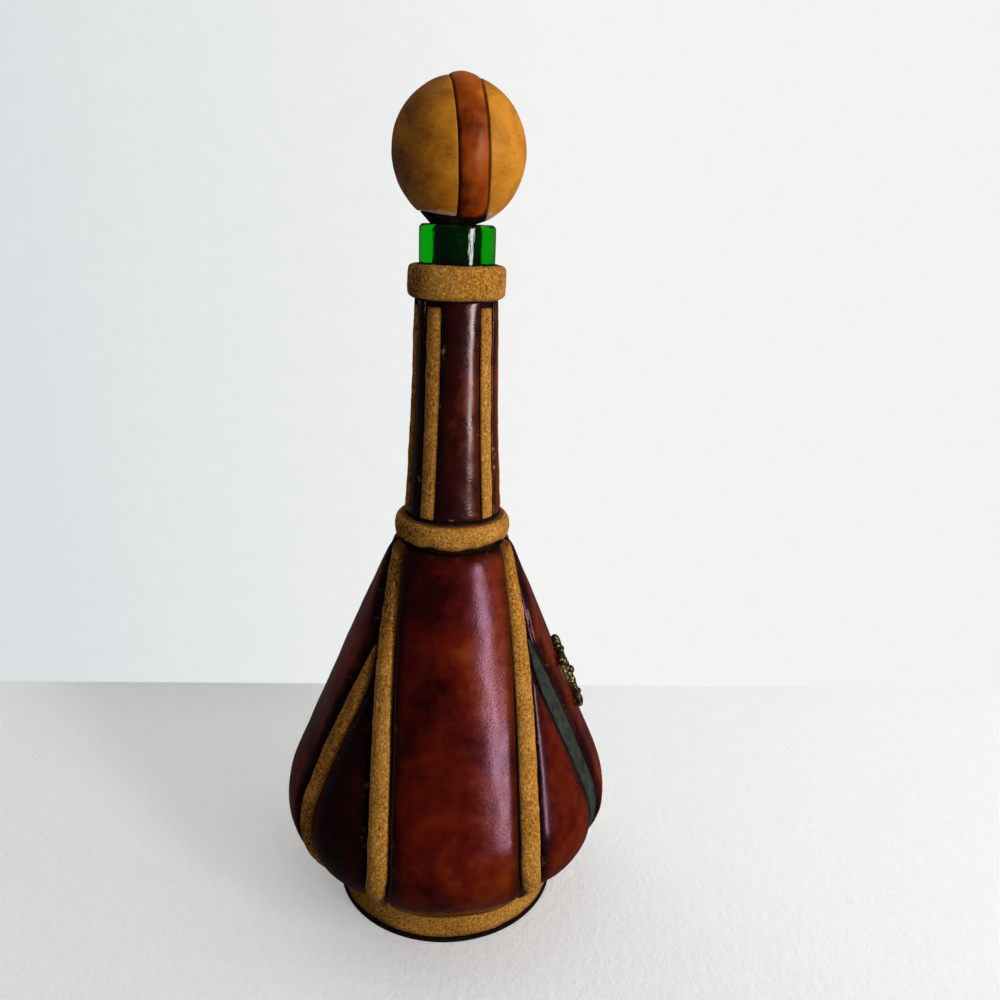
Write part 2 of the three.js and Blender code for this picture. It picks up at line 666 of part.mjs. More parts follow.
function makeCork() {
  const topRadius = BORE_RADIUS - CORK_CLEARANCE;
  const corkTopZ = seatZ - GLUE_GAP;
  const corkLowZ = corkTopZ - CORK_LENGTH;
  const lowRadius = topRadius - CORK_TAPER;
  const plug = [
    point(0, corkLowZ),
    point(lowRadius - CORK_CHAMFER, corkLowZ),
    point(lowRadius, corkLowZ + CORK_CHAMFER),
    point(topRadius, corkTopZ - LIP_ROUND),
    point(topRadius, corkTopZ),
    point(dowelHole, corkTopZ),
    point(dowelHole, corkTopZ - DOWEL_IN_CORK),
    point(0, corkTopZ - DOWEL_IN_CORK),
  ];
  addPiece(stopper, 'cork_plug', turned(plug, SMALL_STEPS), cork);
  const dowelLowZ = corkTopZ - DOWEL_IN_CORK + GLUE_GAP;
  const dowelTopZ = coreLowZ + DOWEL_IN_CORE - GLUE_GAP;
  const dowel = [
    point(0, dowelLowZ),
    point(DOWEL_RADIUS, dowelLowZ),
    point(DOWEL_RADIUS, dowelTopZ),
    point(0, dowelTopZ),
  ];
  addPiece(stopper, 'stopper_dowel', turned(dowel, SMALL_STEPS), wood);
}

const wasm = await Module();
wasm.setup();

// A closed geometry as a solid that can be cut, and back.
function solidOf(geometry) {
  const bare = geometry.clone();
  bare.deleteAttribute('normal');
  bare.deleteAttribute('uv');
  const merged = mergeVertices(bare, 1e-4);
  return new wasm.Manifold(new wasm.Mesh({
    numProp: 3,
    vertProperties: merged.attributes.position.array,
    triVerts: new Uint32Array(merged.index.array),
  }));
}

function geometryOf(solid) {
  const mesh = solid.getMesh();
  const geometry = new THREE.BufferGeometry();
  geometry.setAttribute('position', new THREE.Float32BufferAttribute(mesh.vertProperties, 3));
  geometry.setIndex(Array.from(mesh.triVerts));
  return geometry;
}

// Shell of a leather cap, turned about the Y axis, from its pole to a rim at this distance from the middle.
function capShell(rim) {
  const outerStart = Math.asin(rim / BALL_RADIUS);
  const innerStart = Math.asin(rim / capInner);
  const quarterTurn = Math.PI / 2;
  const centre = point(0, 0);
  const outerArc = [
    point(0, BALL_RADIUS),
    ...arcTo(centre, BALL_RADIUS, quarterTurn, outerStart, CAP_STEPS),
  ];
  const innerArc = [
    ...arcTo(centre, capInner, quarterTurn, innerStart, CAP_STEPS).reverse(),
    point(0, capInner),
  ];
  return new THREE.LatheGeometry([...innerArc.reverse(), ...outerArc.reverse()], BALL_STEPS);
}

// Two leather caps, one on each side of the strap, trimmed level above the seat.
function makeCaps() {
  const beside = STRAP_WIDTH / 2 + GROOVE;
  const cutter = new THREE.BoxGeometry(4 * BALL_RADIUS, 4 * BALL_RADIUS, 4 * BALL_RADIUS);
  cutter.translate(0, 0, coreLowZ - 2 * BALL_RADIUS);
  const caps = [
    ['stopper_cap_back', 0, beside - STRAP_OFFSET],
    ['stopper_cap_front', Math.PI, beside + STRAP_OFFSET],
  ];
  for (const [name, turn, rim] of caps) {
    const cap = capShell(rim).scale(1, 1, ballStretch).rotateZ(turn + strapTurn).translate(0, 0, ballZ);
    addPiece(stopper, name, geometryOf(solidOf(cap).subtract(solidOf(cutter))), tanLeather);
  }
}

// Padded strap that runs over the ball from one side to the other, a little to the front of its middle.
function makeStrap() {
  const reach = radians(STRAP_REACH);
  const columns = STRIP_COLUMNS;
  const section = [];
  for (let i = 0; i <= columns; i += 1) {
    const across = (-STRAP_WIDTH / 2) * Math.cos((Math.PI * i) / columns);
    const rise = rolledEdge(STRAP_WIDTH / 2 - Math.abs(across), STRAP_WIDTH / 2);
    section.push([across, STRAP_EDGE + (STRAP_THICKNESS - STRAP_EDGE) * rise]);
  }
  for (let i = columns; i >= 0; i -= 1) {
    section.push([STRAP_WIDTH * (i / columns - 0.5), 0]);
  }
  const positions = [];
  for (let j = 0; j <= STRAP_STEPS; j += 1) {
    const turn = reach * (1 - (2 * j) / STRAP_STEPS);
    for (const [across, height] of section) {
      const radius = capInner + height;
      const side = across - STRAP_OFFSET;
      const ring = radius * Math.sqrt(1 - (side / capInner) ** 2);
      positions.push(ring * Math.sin(turn), side, ballZ + ring * ballStretch * Math.cos(turn));
    }
  }
  const count = section.length;
  const index = [];
  for (let j = 0; j < STRAP_STEPS; j += 1) {
    for (let i = 0; i < count; i += 1) {
      const [a, b] = [j * count + i, j * count + ((i + 1) % count)];
      index.push(a, b, b + count, a, b + count, a + count);
    }
  }
  for (let i = 0; i < columns; i += 1) {
    const [a, b, c, d] = [i, i + 1, count - 2 - i, count - 1 - i];
    index.push(a, c, b, a, d, c);
    const end = STRAP_STEPS * count;
    index.push(end + a, end + b, end + c, end + a, end + c, end + d);
  }
  const strap = new THREE.BufferGeometry();
  strap.setAttribute('position', new THREE.Float32BufferAttribute(positions, 3));
  strap.setIndex(index);
  addPiece(stopper, 'stopper_strap', strap.rotateZ(strapTurn), leather);
}

makeBottle();
makeFoot();
const bodyLinerTopZ = baseRingLowZ - GLUE_GAP - (GLUE_GAP + BODY_LINER) * Math.sin(coneAngle);
const bodyLinerLowZ = footTopZ + GLUE_GAP - (GLUE_GAP + BODY_LINER) * Math.sin(underAngle);
makeLiner('body_liner', bodyLinerLowZ, bodyLinerTopZ, BODY_LINER);
makeLiner('neck_liner', baseRingTopZ + GLUE_GAP, topRingLowZ - GLUE_GAP, NECK_LINER);
makeNeckRing('neck_base_ring', baseRingLowZ, baseRingTopZ, BASE_RING_PROUD, BASE_RING_ROUND);
makeNeckRing('neck_top_ring', topRingLowZ, topRingTopZ, TOP_RING_PROUD, TOP_RING_ROUND);
makeBodyPanels();
makeQuarterPieces();
makeNeckCovers();
makeOrnament();
makeStopperCore();
makeCork();
makeCaps();
makeStrap();

export default decanter;
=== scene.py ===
import math

import bpy
from mathutils import Matrix, Quaternion, Vector
from mathutils.kdtree import KDTree


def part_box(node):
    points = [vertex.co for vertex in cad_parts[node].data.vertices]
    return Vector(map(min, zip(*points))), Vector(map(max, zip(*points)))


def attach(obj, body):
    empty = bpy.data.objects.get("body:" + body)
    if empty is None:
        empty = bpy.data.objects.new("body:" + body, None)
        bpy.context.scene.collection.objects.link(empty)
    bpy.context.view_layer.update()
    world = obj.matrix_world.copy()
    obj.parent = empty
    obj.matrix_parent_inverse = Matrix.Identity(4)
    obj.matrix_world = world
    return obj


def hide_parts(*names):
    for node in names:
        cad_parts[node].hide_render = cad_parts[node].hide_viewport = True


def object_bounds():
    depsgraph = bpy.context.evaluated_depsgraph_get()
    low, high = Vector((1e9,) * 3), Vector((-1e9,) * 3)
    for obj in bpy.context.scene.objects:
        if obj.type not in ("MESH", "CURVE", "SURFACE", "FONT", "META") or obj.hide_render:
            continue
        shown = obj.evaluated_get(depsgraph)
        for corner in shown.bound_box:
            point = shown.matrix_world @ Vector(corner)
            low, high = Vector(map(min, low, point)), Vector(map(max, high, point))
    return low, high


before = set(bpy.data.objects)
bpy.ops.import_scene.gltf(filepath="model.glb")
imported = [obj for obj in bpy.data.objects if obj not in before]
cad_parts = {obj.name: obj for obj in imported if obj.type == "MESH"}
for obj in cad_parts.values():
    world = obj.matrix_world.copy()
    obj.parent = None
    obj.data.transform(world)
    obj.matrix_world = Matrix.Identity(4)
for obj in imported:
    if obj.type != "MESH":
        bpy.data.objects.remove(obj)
cad_low, cad_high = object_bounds()

# Camera
# It stands before the left side panel, level with the mouth, looks down on the decanter and is
# rolled by a small amount. It is turned aside, so the decanter stands left of the frame's middle.
CAMERA_DISTANCE = 0.3395
CAMERA_HEIGHT = 0.2883
CAMERA_AZIMUTH = math.radians(266.7)
CAMERA_TURN = math.radians(3.26)
CAMERA_PITCH = math.radians(17.75)
CAMERA_ROLL = math.radians(2.05)
CAMERA_LENS = 31.39
SENSOR_WIDTH = 36

upright = Vector((0, 0, 1))
camera_side = Vector((math.sin(CAMERA_AZIMUTH), -math.cos(CAMERA_AZIMUTH), 0))
heading = Matrix.Rotation(-CAMERA_TURN, 3, "Z") @ -camera_side
forward = heading * math.cos(CAMERA_PITCH) - upright * math.sin(CAMERA_PITCH)
level_right = heading.cross(upright)
level_up = level_right.cross(forward)
camera_right = level_right * math.cos(CAMERA_ROLL) + level_up * math.sin(CAMERA_ROLL)
camera_up = level_up * math.cos(CAMERA_ROLL) - level_right * math.sin(CAMERA_ROLL)
bpy.ops.object.camera_add(location=camera_side * CAMERA_DISTANCE + upright * CAMERA_HEIGHT)
camera = bpy.context.object
turn = Matrix((camera_right, camera_up, -forward)).transposed()
camera.rotation_euler = turn.to_euler()
camera.data.lens = CAMERA_LENS
camera.data.sensor_width = SENSOR_WIDTH
bpy.context.scene.camera = camera
bpy.context.scene.view_settings.view_transform = "Standard"


# Floor and wall
# A pale sheet under the decanter and a pale rough wall close behind it. The wall shows only from
# its front and casts no shadow, so that it doesn't stand in the way of a view from behind.
FLOOR_SIZE = 6
FLOOR_COLOUR = (0.84, 0.84, 0.826, 1)
FLOOR_BOUNCE = (0.3, 0.3, 0.295, 1)
FLOOR_MIRRORED = (0.03, 0.03, 0.03, 1)
FLOOR_GLOW = (0.25, 0.25, 0.246, 1)
FLOOR_GRAIN = 260
FLOOR_GRAIN_DEPTH = 0.0012
WALL_BEHIND = 0.165
WALL_SIZE = 4
WALL_LIFT = 0.49  # its centre's height, as a share of its size
WALL_SHADE = (0.7, 0.745, 0.755)
WALL_LIGHT = (0.9, 0.9, 0.89)
WALL_SHADED = (-0.25, 0.05)
WALL_LUMPS = 90
WALL_MOTTLE = 0.06
MIRRORED_SHARE = 0.08


def wire(tree, kind, inputs=None, **settings):
    """Adds a node with these settings. Of its inputs, a value is set and a socket is linked."""
    node = tree.nodes.new(kind)
    for key, value in settings.items():
        setattr(node, key, value)
    for key, value in (inputs or {}).items():
        if isinstance(value, bpy.types.NodeSocket):
            tree.links.new(value, node.inputs[key])
        else:
            node.inputs[key].default_value = value
    return node


def new_material(name, **sockets):
    """A material with one Principled shader, some of whose sockets are set."""
    material = bpy.data.materials.new(name)
    material.use_nodes = True
    tree = material.node_tree
    shader = tree.nodes["Principled BSDF"]
    for key, value in sockets.items():
        shader.inputs[key.replace("_", " ")].default_value = value
    return material, tree, shader


def object_place(tree):
    """A place on the piece, in metres."""
    return wire(tree, "ShaderNodeTexCoord").outputs["Object"]


def coordinate(tree, place, axis):
    """One coordinate of a place."""
    return wire(tree, "ShaderNodeSeparateXYZ", {"Vector": place}).outputs[axis]


def noise(tree, place, scale, detail=3, roughness=0.55, distortion=0):
    """A soft random value about 0.5, finer as its scale grows."""
    inputs = {"Vector": place, "Scale": scale, "Detail": detail}
    inputs.update({"Roughness": roughness, "Distortion": distortion})
    return wire(tree, "ShaderNodeTexNoise", inputs).outputs["Fac"]


def ramp(tree, factor, *stops):
    """A colour ramp through (place, colour) stops."""
    node = wire(tree, "ShaderNodeValToRGB", {"Fac": factor})
    elements = node.color_ramp.elements
    while len(elements) < len(stops):
        elements.new(1)
    for element, (place, colour) in zip(elements, stops):
        element.position = place
        element.color = (*colour, 1)
    return node.outputs["Color"]


def spread(tree, value, low, high, to_low=0, to_high=1):
    """A value's range, stretched to another one and clamped there."""
    inputs = {"Value": value, "From Min": low, "From Max": high, "To Min": to_low, "To Max": to_high}
    return wire(tree, "ShaderNodeMapRange", inputs).outputs["Result"]


def maths(tree, operation, first, second):
    """A sum, a product or the like of two values."""
    return wire(tree, "ShaderNodeMath", {0: first, 1: second}, operation=operation).outputs[0]


def mixed(tree, factor, first, second):
    """Two colours, mixed by a factor."""
    inputs = {0: factor, 6: first, 7: second}
    return wire(tree, "ShaderNodeMix", inputs, data_type="RGBA").outputs[2]


def bumped(tree, shader, height, distance, strength=1.0):
    """Bump from a height that runs from 0 to 1, this many metres deep."""
    inputs = {"Height": height, "Distance": distance, "Strength": strength}
    tree.links.new(wire(tree, "ShaderNodeBump", inputs).outputs["Normal"], shader.inputs["Normal"])


def seen(tree, mirrored_share):
    """1 for what the camera sees, also through glass, a share for what is mirrored, else 0."""
    path = wire(tree, "ShaderNodeLightPath").outputs
    mirrored = maths(tree, "MULTIPLY", path["Is Glossy Ray"], mirrored_share)
    straight = maths(tree, "MAXIMUM", path["Is Camera Ray"], path["Is Transmission Ray"])
    return maths(tree, "MAXIMUM", straight, mirrored)


bpy.ops.object.select_all(action="DESELECT")
bpy.ops.mesh.primitive_plane_add(size=FLOOR_SIZE)
floor = bpy.context.object
floor.name = "floor"
sheet, tree, shader = new_material("floor_sheet", Roughness=0.9, Specular_IOR_Level=0.2)
mirrored = wire(tree, "ShaderNodeLightPath").outputs["Is Glossy Ray"]
bounce = mixed(tree, mirrored, FLOOR_BOUNCE, FLOOR_MIRRORED)
tree.links.new(mixed(tree, seen(tree, 0), bounce, FLOOR_COLOUR), shader.inputs["Base Color"])
grain = noise(tree, object_place(tree), FLOOR_GRAIN, detail=6, roughness=0.7)
bumped(tree, shader, grain, FLOOR_GRAIN_DEPTH, 0.7)
tree.links.new(seen(tree, MIRRORED_SHARE), shader.inputs["Emission Strength"])
shader.inputs["Emission Color"].default_value = FLOOR_GLOW
floor.data.materials.append(sheet)

wall_centre = -camera_side * WALL_BEHIND + upright * WALL_SIZE * WALL_LIFT
facing = camera_side.to_track_quat("Z", "Y").to_euler()
bpy.ops.mesh.primitive_plane_add(size=WALL_SIZE, location=wall_centre, rotation=facing)
wall = bpy.context.object
wall.name = "wall"
wall.visible_shadow = False
plaster, tree, shader = new_material("wall_plaster", Base_Color=(*WALL_LIGHT, 1), Roughness=0.95)
place = object_place(tree)
lumps = noise(tree, place, WALL_LUMPS, detail=4, roughness=0.6)
mottle = spread(tree, lumps, 0.3, 0.7, -WALL_MOTTLE, WALL_MOTTLE)
shade = maths(tree, "ADD", spread(tree, coordinate(tree, place, "X"), *WALL_SHADED), mottle)
tint = ramp(tree, shade, (0, WALL_SHADE), (1, WALL_LIGHT))
glow = wire(tree, "ShaderNodeEmission", {"Color": tint, "Strength": seen(tree, MIRRORED_SHARE)}).outputs[0]
lit = wire(tree, "ShaderNodeMixShader", {0: seen(tree, 1), 1: shader.outputs["BSDF"], 2: glow}).outputs[0]
behind = wire(tree, "ShaderNodeNewGeometry").outputs["Backfacing"]
clear = wire(tree, "ShaderNodeBsdfTransparent").outputs["BSDF"]
one_sided = wire(tree, "ShaderNodeMixShader", {0: behind, 1: lit, 2: clear})
tree.links.new(one_sided.outputs["Shader"], tree.nodes["Material Output"].inputs["Surface"])
wall.data.materials.append(plaster)


# Light
# A tall narrow window, soft and a little cool, stands to the right of the camera. Broad sheets on
# the right, overhead and behind on the left, and the room round the camera, give an even weak light.
KEY_POWER = 7.5
KEY_SIZE = (0.18, 0.74)
KEY_PLACE = (0.69, 0.74, 0.4)
KEY_LEAN = math.radians(-18)
KEY_COLOUR = (0.96, 0.97, 1)
SIDE_POWER = 9
SIDE_SIZE = (1.7, 1.7)
SIDE_PLACE = (-0.04, 1.9, 1.05)
FILL_POWER = 9
FILL_SIZE = (1.6, 1.6)
FILL_PLACE = (-1.5, -1.2, 1)
TOP_POWER = 1.6
TOP_SIZE = (1.2, 1.2)
TOP_PLACE = (0.1, 0.1, 1.3)
ROOM_COLOUR = (0.93, 0.96, 1, 1)
ROOM_LIGHT = 0.16
ROOM_MIRRORED = 0.04
ROOM_SEEN = 0.92

middle = Vector((0, 0, (cad_low.z + cad_high.z) / 2))


def softbox(name, where, power, size, colour=(1, 1, 1), slant=0):
    """A rectangular lamp that faces the decanter's middle, so far towards the camera, to its right and up."""
    near, right, up = where
    place = camera_side * near + level_right * right + upright * up
    aim = ((middle - place).to_track_quat("-Z", "Y") @ Quaternion((0, 0, 1), slant)).to_euler()
    bpy.ops.object.light_add(type="AREA", location=place, rotation=aim)
    lamp = bpy.context.object
    lamp.name = name
    lamp.data.shape = "RECTANGLE"
    lamp.data.size, lamp.data.size_y = size
    lamp.data.energy = power
    lamp.data.color = colour
    return lamp


softbox("window", KEY_PLACE, KEY_POWER, KEY_SIZE, KEY_COLOUR, KEY_LEAN)
sheets = (
    softbox("side", SIDE_PLACE, SIDE_POWER, SIDE_SIZE),
    softbox("fill", FILL_PLACE, FILL_POWER, FILL_SIZE),
    softbox("overhead", TOP_PLACE, TOP_POWER, TOP_SIZE),
)
for lamp in sheets:
    lamp.visible_glossy = False
room = bpy.data.worlds.new("room")
room.use_nodes = True
tree = room.node_tree
background = tree.nodes["Background"]
background.inputs["Color"].default_value = ROOM_COLOUR
path = wire(tree, "ShaderNodeLightPath").outputs
level = spread(tree, path["Is Glossy Ray"], 0, 1, ROOM_LIGHT, ROOM_MIRRORED)
level = maths(tree, "MAXIMUM", level, maths(tree, "MULTIPLY", path["Is Camera Ray"], ROOM_SEEN))
tree.links.new(level, background.inputs["Strength"])
bpy.context.scene.world = room


# Base pad and liners
# A thin dark leather disc is glued under the foot. It stands a little proud of the foot ring's lower
# edge, so a dark line of it shows. The liners, glued to the glass, are of the same dark leather.
BACKING_DARK = (0.006, 0.003, 0.002)
BACKING_LIGHT = (0.024, 0.01, 0.005)
BACKING_GRAIN = 300
BACKING_DEPTH = 0.0004
PAD_EDGE = 0.0004
MERGE_DISTANCE = 0.00003
QUAD_ANGLE = math.radians(70)


def choose(piece):
    """Makes a piece the only selected object, and the active one."""
    bpy.ops.object.select_all(action="DESELECT")
    piece.select_set(True)
    bpy.context.view_layer.objects.active = piece


def copy_of(node, name):
    """A copy of a CAD node's mesh as a new piece, with its triangles merged and joined to quads."""
    piece = bpy.data.objects.new(name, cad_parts[node].data.copy())
    piece.data.materials.clear()
    bpy.context.collection.objects.link(piece)
    choose(piece)
    bpy.ops.mesh.customdata_custom_splitnormals_clear()
    bpy.ops.object.mode_set(mode="EDIT")
    bpy.ops.mesh.select_all(action="SELECT")
    bpy.ops.mesh.remove_doubles(threshold=MERGE_DISTANCE)
    bpy.ops.mesh.tris_convert_to_quads(face_threshold=QUAD_ANGLE, shape_threshold=QUAD_ANGLE)
    bpy.ops.object.mode_set(mode="OBJECT")
    return piece


def change(piece, kind, **settings):
    """Adds a modifier with these settings and applies it."""
    modifier = piece.modifiers.new(kind.lower(), kind)
    for key, value in settings.items():
        setattr(modifier, key, value)
    choose(piece)
    bpy.ops.object.modifier_apply(modifier=modifier.name)


def round_off(piece, levels):
    """Rounds a piece all over, by this many levels of subdivision."""
    change(piece, "SUBSURF", levels=levels, render_levels=levels)


def soften(piece, width, segments=3, angle=40):
    """Rounds a piece's sharp edges."""
    limit = math.radians(angle)
    change(piece, "BEVEL", width=width, segments=segments, limit_method="ANGLE", angle_limit=limit)


def uneven(piece, lumps):
    """Works the surface up and down at random, by lumps of each (size, depth) in turn."""
    for size, depth in lumps:
        name = f"uneven_{size * 1000:g}_mm"
        texture = bpy.data.textures.get(name) or bpy.data.textures.new(name, "CLOUDS")
        texture.noise_scale = size
        texture.noise_depth = 2
        change(piece, "DISPLACE", texture=texture, texture_coords="LOCAL", strength=depth, mid_level=0.5)


def finish_piece(piece, material, body, slot, *nodes):
    """Shades a piece smooth, gives it its finish and fixes it to its body in place of CAD nodes."""
    choose(piece)
    bpy.ops.object.shade_smooth()
    piece.data.materials.clear()
    piece.data.materials.append(material)
    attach(piece, body)
    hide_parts(*nodes)


def refinish(material, *nodes):
    """Gives CAD nodes that stay as they are a finish of their own."""
    for node in nodes:
        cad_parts[node].data.materials.clear()
        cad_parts[node].data.materials.append(material)


backing, tree, shader = new_material("dark_backing", Roughness=0.9, Specular_IOR_Level=0.1)
tone = noise(tree, object_place(tree), BACKING_GRAIN, detail=5, roughness=0.7)
tree.links.new(ramp(tree, tone, (0.3, BACKING_DARK), (0.75, BACKING_LIGHT)), shader.inputs["Base Color"])
bumped(tree, shader, tone, BACKING_DEPTH)

pad = copy_of("base_pad", "base_disc")
soften(pad, PAD_EDGE, segments=2)
round_off(pad, levels=2)
finish_piece(pad, backing, "bottle", "dark_backing", "base_pad")
refinish(backing, "body_liner", "neck_liner")


# Foot ring
# A thick band of tan split leather under the belly, cut by hand and rounded on its upper edge.
# Its rough flesh side faces out, so it looks granular, with dark pores and pale fibres.
SPLIT_DARK = (0.13, 0.034, 0.003)
SPLIT_BROWN = (0.42, 0.15, 0.012)
SPLIT_TAN = (0.62, 0.26, 0.024)
SPLIT_PALE = (0.9, 0.54, 0.16)
SPLIT_GRAIN = 950
SPLIT_SPECKS = 1.15 * SPLIT_GRAIN
SPLIT_CLOUDS = 60
SPLIT_CLOUDING = 0.06
SPLIT_DEPTH = 0.0011
SPLIT_PAINTED_SHADE = 0.13
SPLIT_PAINTED_SHADE_REACH = (0.55, 1)
FOOT_PAINTED_SHADOW = 0.0065
FOOT_EDGE = 0.0012
FOOT_LUMPS = ((0.011, 0.0009), (0.0022, 0.0004))


def behindness(tree, place):
    """How far round to the back a place is, from -1 at the front to 1 at the back."""
    flat = wire(tree, "ShaderNodeVectorMath", {0: place, 1: (1, 1, 0)}, operation="MULTIPLY").outputs[0]
    out = wire(tree, "ShaderNodeVectorMath", {0: flat}, operation="NORMALIZE").outputs[0]
    return coordinate(tree, out, "Y")


def scattered(tree, place, scale, channel="Red"):
    """Spots strewn at random: the distance from a spot's middle, and a chance for each spot."""
    spots = wire(tree, "ShaderNodeTexVoronoi", {"Vector": place, "Scale": scale}).outputs
    chance = wire(tree, "ShaderNodeSeparateColor", {"Color": spots["Color"]}).outputs[channel]
    return spots["Distance"], chance


def rim_of(tree):
    """The attribute that says how near a place is to its piece's border, or to an edge darkened as painted
    shade.
    """
    return wire(tree, "ShaderNodeAttribute", attribute_name="rim").outputs["Fac"]


def split_leather(name):
    """Rough flesh side of leather: a grain of pale fibres and dark pits, painted darker round to the back as
    shade, and dark along its rim, which is painted shade at the foot and the rings.
    """
    material, tree, shader = new_material(name, Roughness=0.88, Specular_IOR_Level=0.3)
    place = object_place(tree)
    grain = noise(tree, place, SPLIT_GRAIN, detail=4, roughness=0.75)
    cloud = noise(tree, place, SPLIT_CLOUDS, detail=4, roughness=0.65)
    mix = maths(tree, "ADD", grain, spread(tree, cloud, 0.3, 0.7, SPLIT_CLOUDING, -SPLIT_CLOUDING))
    # Painted shade: the leather is darker round to the back.
    painted_shading = spread(tree, behindness(tree, place), *SPLIT_PAINTED_SHADE_REACH, 0, SPLIT_PAINTED_SHADE)
    mix = maths(tree, "SUBTRACT", mix, painted_shading)
    colour = ramp(tree, mix, (0.34, SPLIT_DARK), (0.43, SPLIT_BROWN), (0.55, SPLIT_TAN), (0.7, SPLIT_PALE))
    distance, chance = scattered(tree, place, SPLIT_SPECKS)
    speck = spread(tree, distance, 0.18, 0.42, 1, 0)
    pale = maths(tree, "MULTIPLY", speck, spread(tree, chance, 0.66, 0.8, 0, 0.75))
    pit = maths(tree, "MULTIPLY", speck, spread(tree, chance, 0.04, 0.09, 0.28, 0))
    colour = mixed(tree, pale, colour, (*SPLIT_PALE, 1))
    colour = mixed(tree, pit, colour, (*SPLIT_DARK, 1))
    # Dark along the rim: painted shadow at the foot's lowest edge, painted shade on the rings' upper and
    # lower faces, and dark sides on the cords.
    colour = mixed(tree, spread(tree, rim_of(tree), 0.55, 1, 0, 0.88), colour, (*SPLIT_DARK, 1))
    tree.links.new(colour, shader.inputs["Base Color"])
    height = maths(tree, "ADD", maths(tree, "MULTIPLY", mix, 0.7), maths(tree, "MULTIPLY", pale, 0.3))
    height = maths(tree, "SUBTRACT", height, maths(tree, "MULTIPLY", pit, 0.4))
    bumped(tree, shader, height, SPLIT_DEPTH)
    return material


split = split_leather("split_leather")

foot = copy_of("foot_ring", "foot_band")
soften(foot, FOOT_EDGE)
round_off(foot, levels=2)
# Painted shadow: the foot's lowest few millimetres are marked to be coloured dark, for the contact shadow on
# the floor.
painted_shading = foot.data.attributes.new("rim", "FLOAT", "POINT")
foot_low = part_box("foot_ring")[0].z
painted_shading.data.foreach_set("value", [1 - (v.co.z - foot_low) / FOOT_PAINTED_SHADOW for v in foot.data.vertices])
uneven(foot, FOOT_LUMPS)
finish_piece(foot, split, "bottle", "split_leather", "foot_ring")


# Glass bottle
# A green glass bottle, blown in a mould, with a thick wall at the mouth. Only the mouth
# shows above the top ring, and the dark cork is seen through its wall.
GLASS_COLOUR = (0.0002, 0.36, 0.0004, 1)
GLASS_WAVES = 420
GLASS_DRAWN = (1, 1, 0.35)
GLASS_DEPTH = 0.0003
GLASS_EDGE = 0.0005


def stretched(tree, place, scale):
    """A place, scaled along each axis, which draws a pattern out."""
    return wire(tree, "ShaderNodeMapping", {"Vector": place, "Scale": scale}).outputs["Vector"]


green_glass, tree, shader = new_material(
    "green_glass", Base_Color=GLASS_COLOUR, Roughness=0.03, IOR=1.5, Transmission_Weight=1,
)
waves = noise(tree, stretched(tree, object_place(tree), GLASS_DRAWN), GLASS_WAVES)
bumped(tree, shader, waves, GLASS_DEPTH, 0.5)

glass = copy_of("glass_bottle", "bottle_glass")
soften(glass, GLASS_EDGE, segments=2)
round_off(glass, levels=2)
finish_piece(glass, green_glass, "bottle", "green_glass", "glass_bottle")


# Leather covers of the body
# Two side panels, a front and a back panel and four gussets of thick polished calf leather,
# moulded over padding, with their edges rolled under and glued to the liner.
LEATHER_BLACK = (0.005, 0.0008, 0.0006)
LEATHER_TONES = ((0.024, 0.001, 0.0004), (0.115, 0.0065, 0.0003), (0.25, 0.036, 0.0016))
LEATHER_SHEEN = (1, 0.58, 0.82, 1)
LEATHER_CHIP = (0.55, 0.27, 0.09)
# Darker tones for the gussets, as painted shade.
GUSSET_SHADED_TONES = ((0.012, 0.0009, 0.0005), (0.055, 0.002, 0.0003), (0.16, 0.014, 0.0008))
TONE_STOPS = (0.36, 0.53, 0.72)
LEATHER_CLOUDS = 26
LEATHER_MOTTLE = 150
LEATHER_SCRATCHES = 240
LEATHER_CHIPS = 70
LEATHER_DRAWN = (1, 1, 1.7)
LEATHER_WRINKLES = 720
LEATHER_PEBBLES = 900
LEATHER_DEPTH = 0.0002
# Painted shade and light: the tone is darker round to the back and lighter to the front. It is darker again
# at the very front, and lighter again at the very back, which eases the painted shade there.
PAINTED_SHADING_REACH = 0.55
PAINTED_SHADING_SHIFT = 0.13
FRONT_DARKENING = 0.11
FRONT_DARKENING_REACH = (-1, -0.85)
BACK_LIGHTENING = 0.12
BACK_LIGHTENING_REACH = (0.75, 1)
RIM_CLOUDING = 0.12
CHIP_RAGGED = 0.12
BODY_PANELS = ("side_panel_left", "side_panel_right", "front_panel", "back_panel")
QUARTERS = ("front_left", "back_left", "front_right", "back_right")
PANEL_FADE = 0.007
PANEL_FULLER = (0.008, 0.0045, 0.0024)
PANEL_LUMPS = ((0.03, 0.0012), (0.009, 0.00025))
GUSSET_FADE = 0.006
GUSSET_LUMPS = ((0.025, 0.0008), (0.009, 0.00025))
COVER_LEVELS = 3
CREASE_ANGLE = math.radians(50)
CREASE_VALUE = 0.9
DRAWN_UP = 0.0012
DRAWN_LENGTH = 0.009
CONE_SLOPE = 0.45
FACES_OUT = 0.35
FACES_IN = -0.5
ON_BORDER = 0.5


def outward(place):
    """The level direction away from the decanter's axis at a place."""
    return Vector((place.x, place.y, 0)).normalized()


def is_wall(face):
    """Whether a cover's face belongs to its walls or its back, and not to its outer side."""
    return face.normal.dot(outward(face.center)) < FACES_OUT


def mark_border(piece, is_border):
    """Keeps, in a vertex group, the corners of the faces that make up a piece's border."""
    group = piece.vertex_groups.new(name="border")
    for face in piece.data.polygons:
        if is_border(face):
            group.add(list(face.vertices), 1, "REPLACE")


def rolled(distance, roll):
    """Share of its full rise that a padded face has at a distance from its border."""
    return math.sqrt(1 - (1 - min(distance / roll, 1)) ** 2)


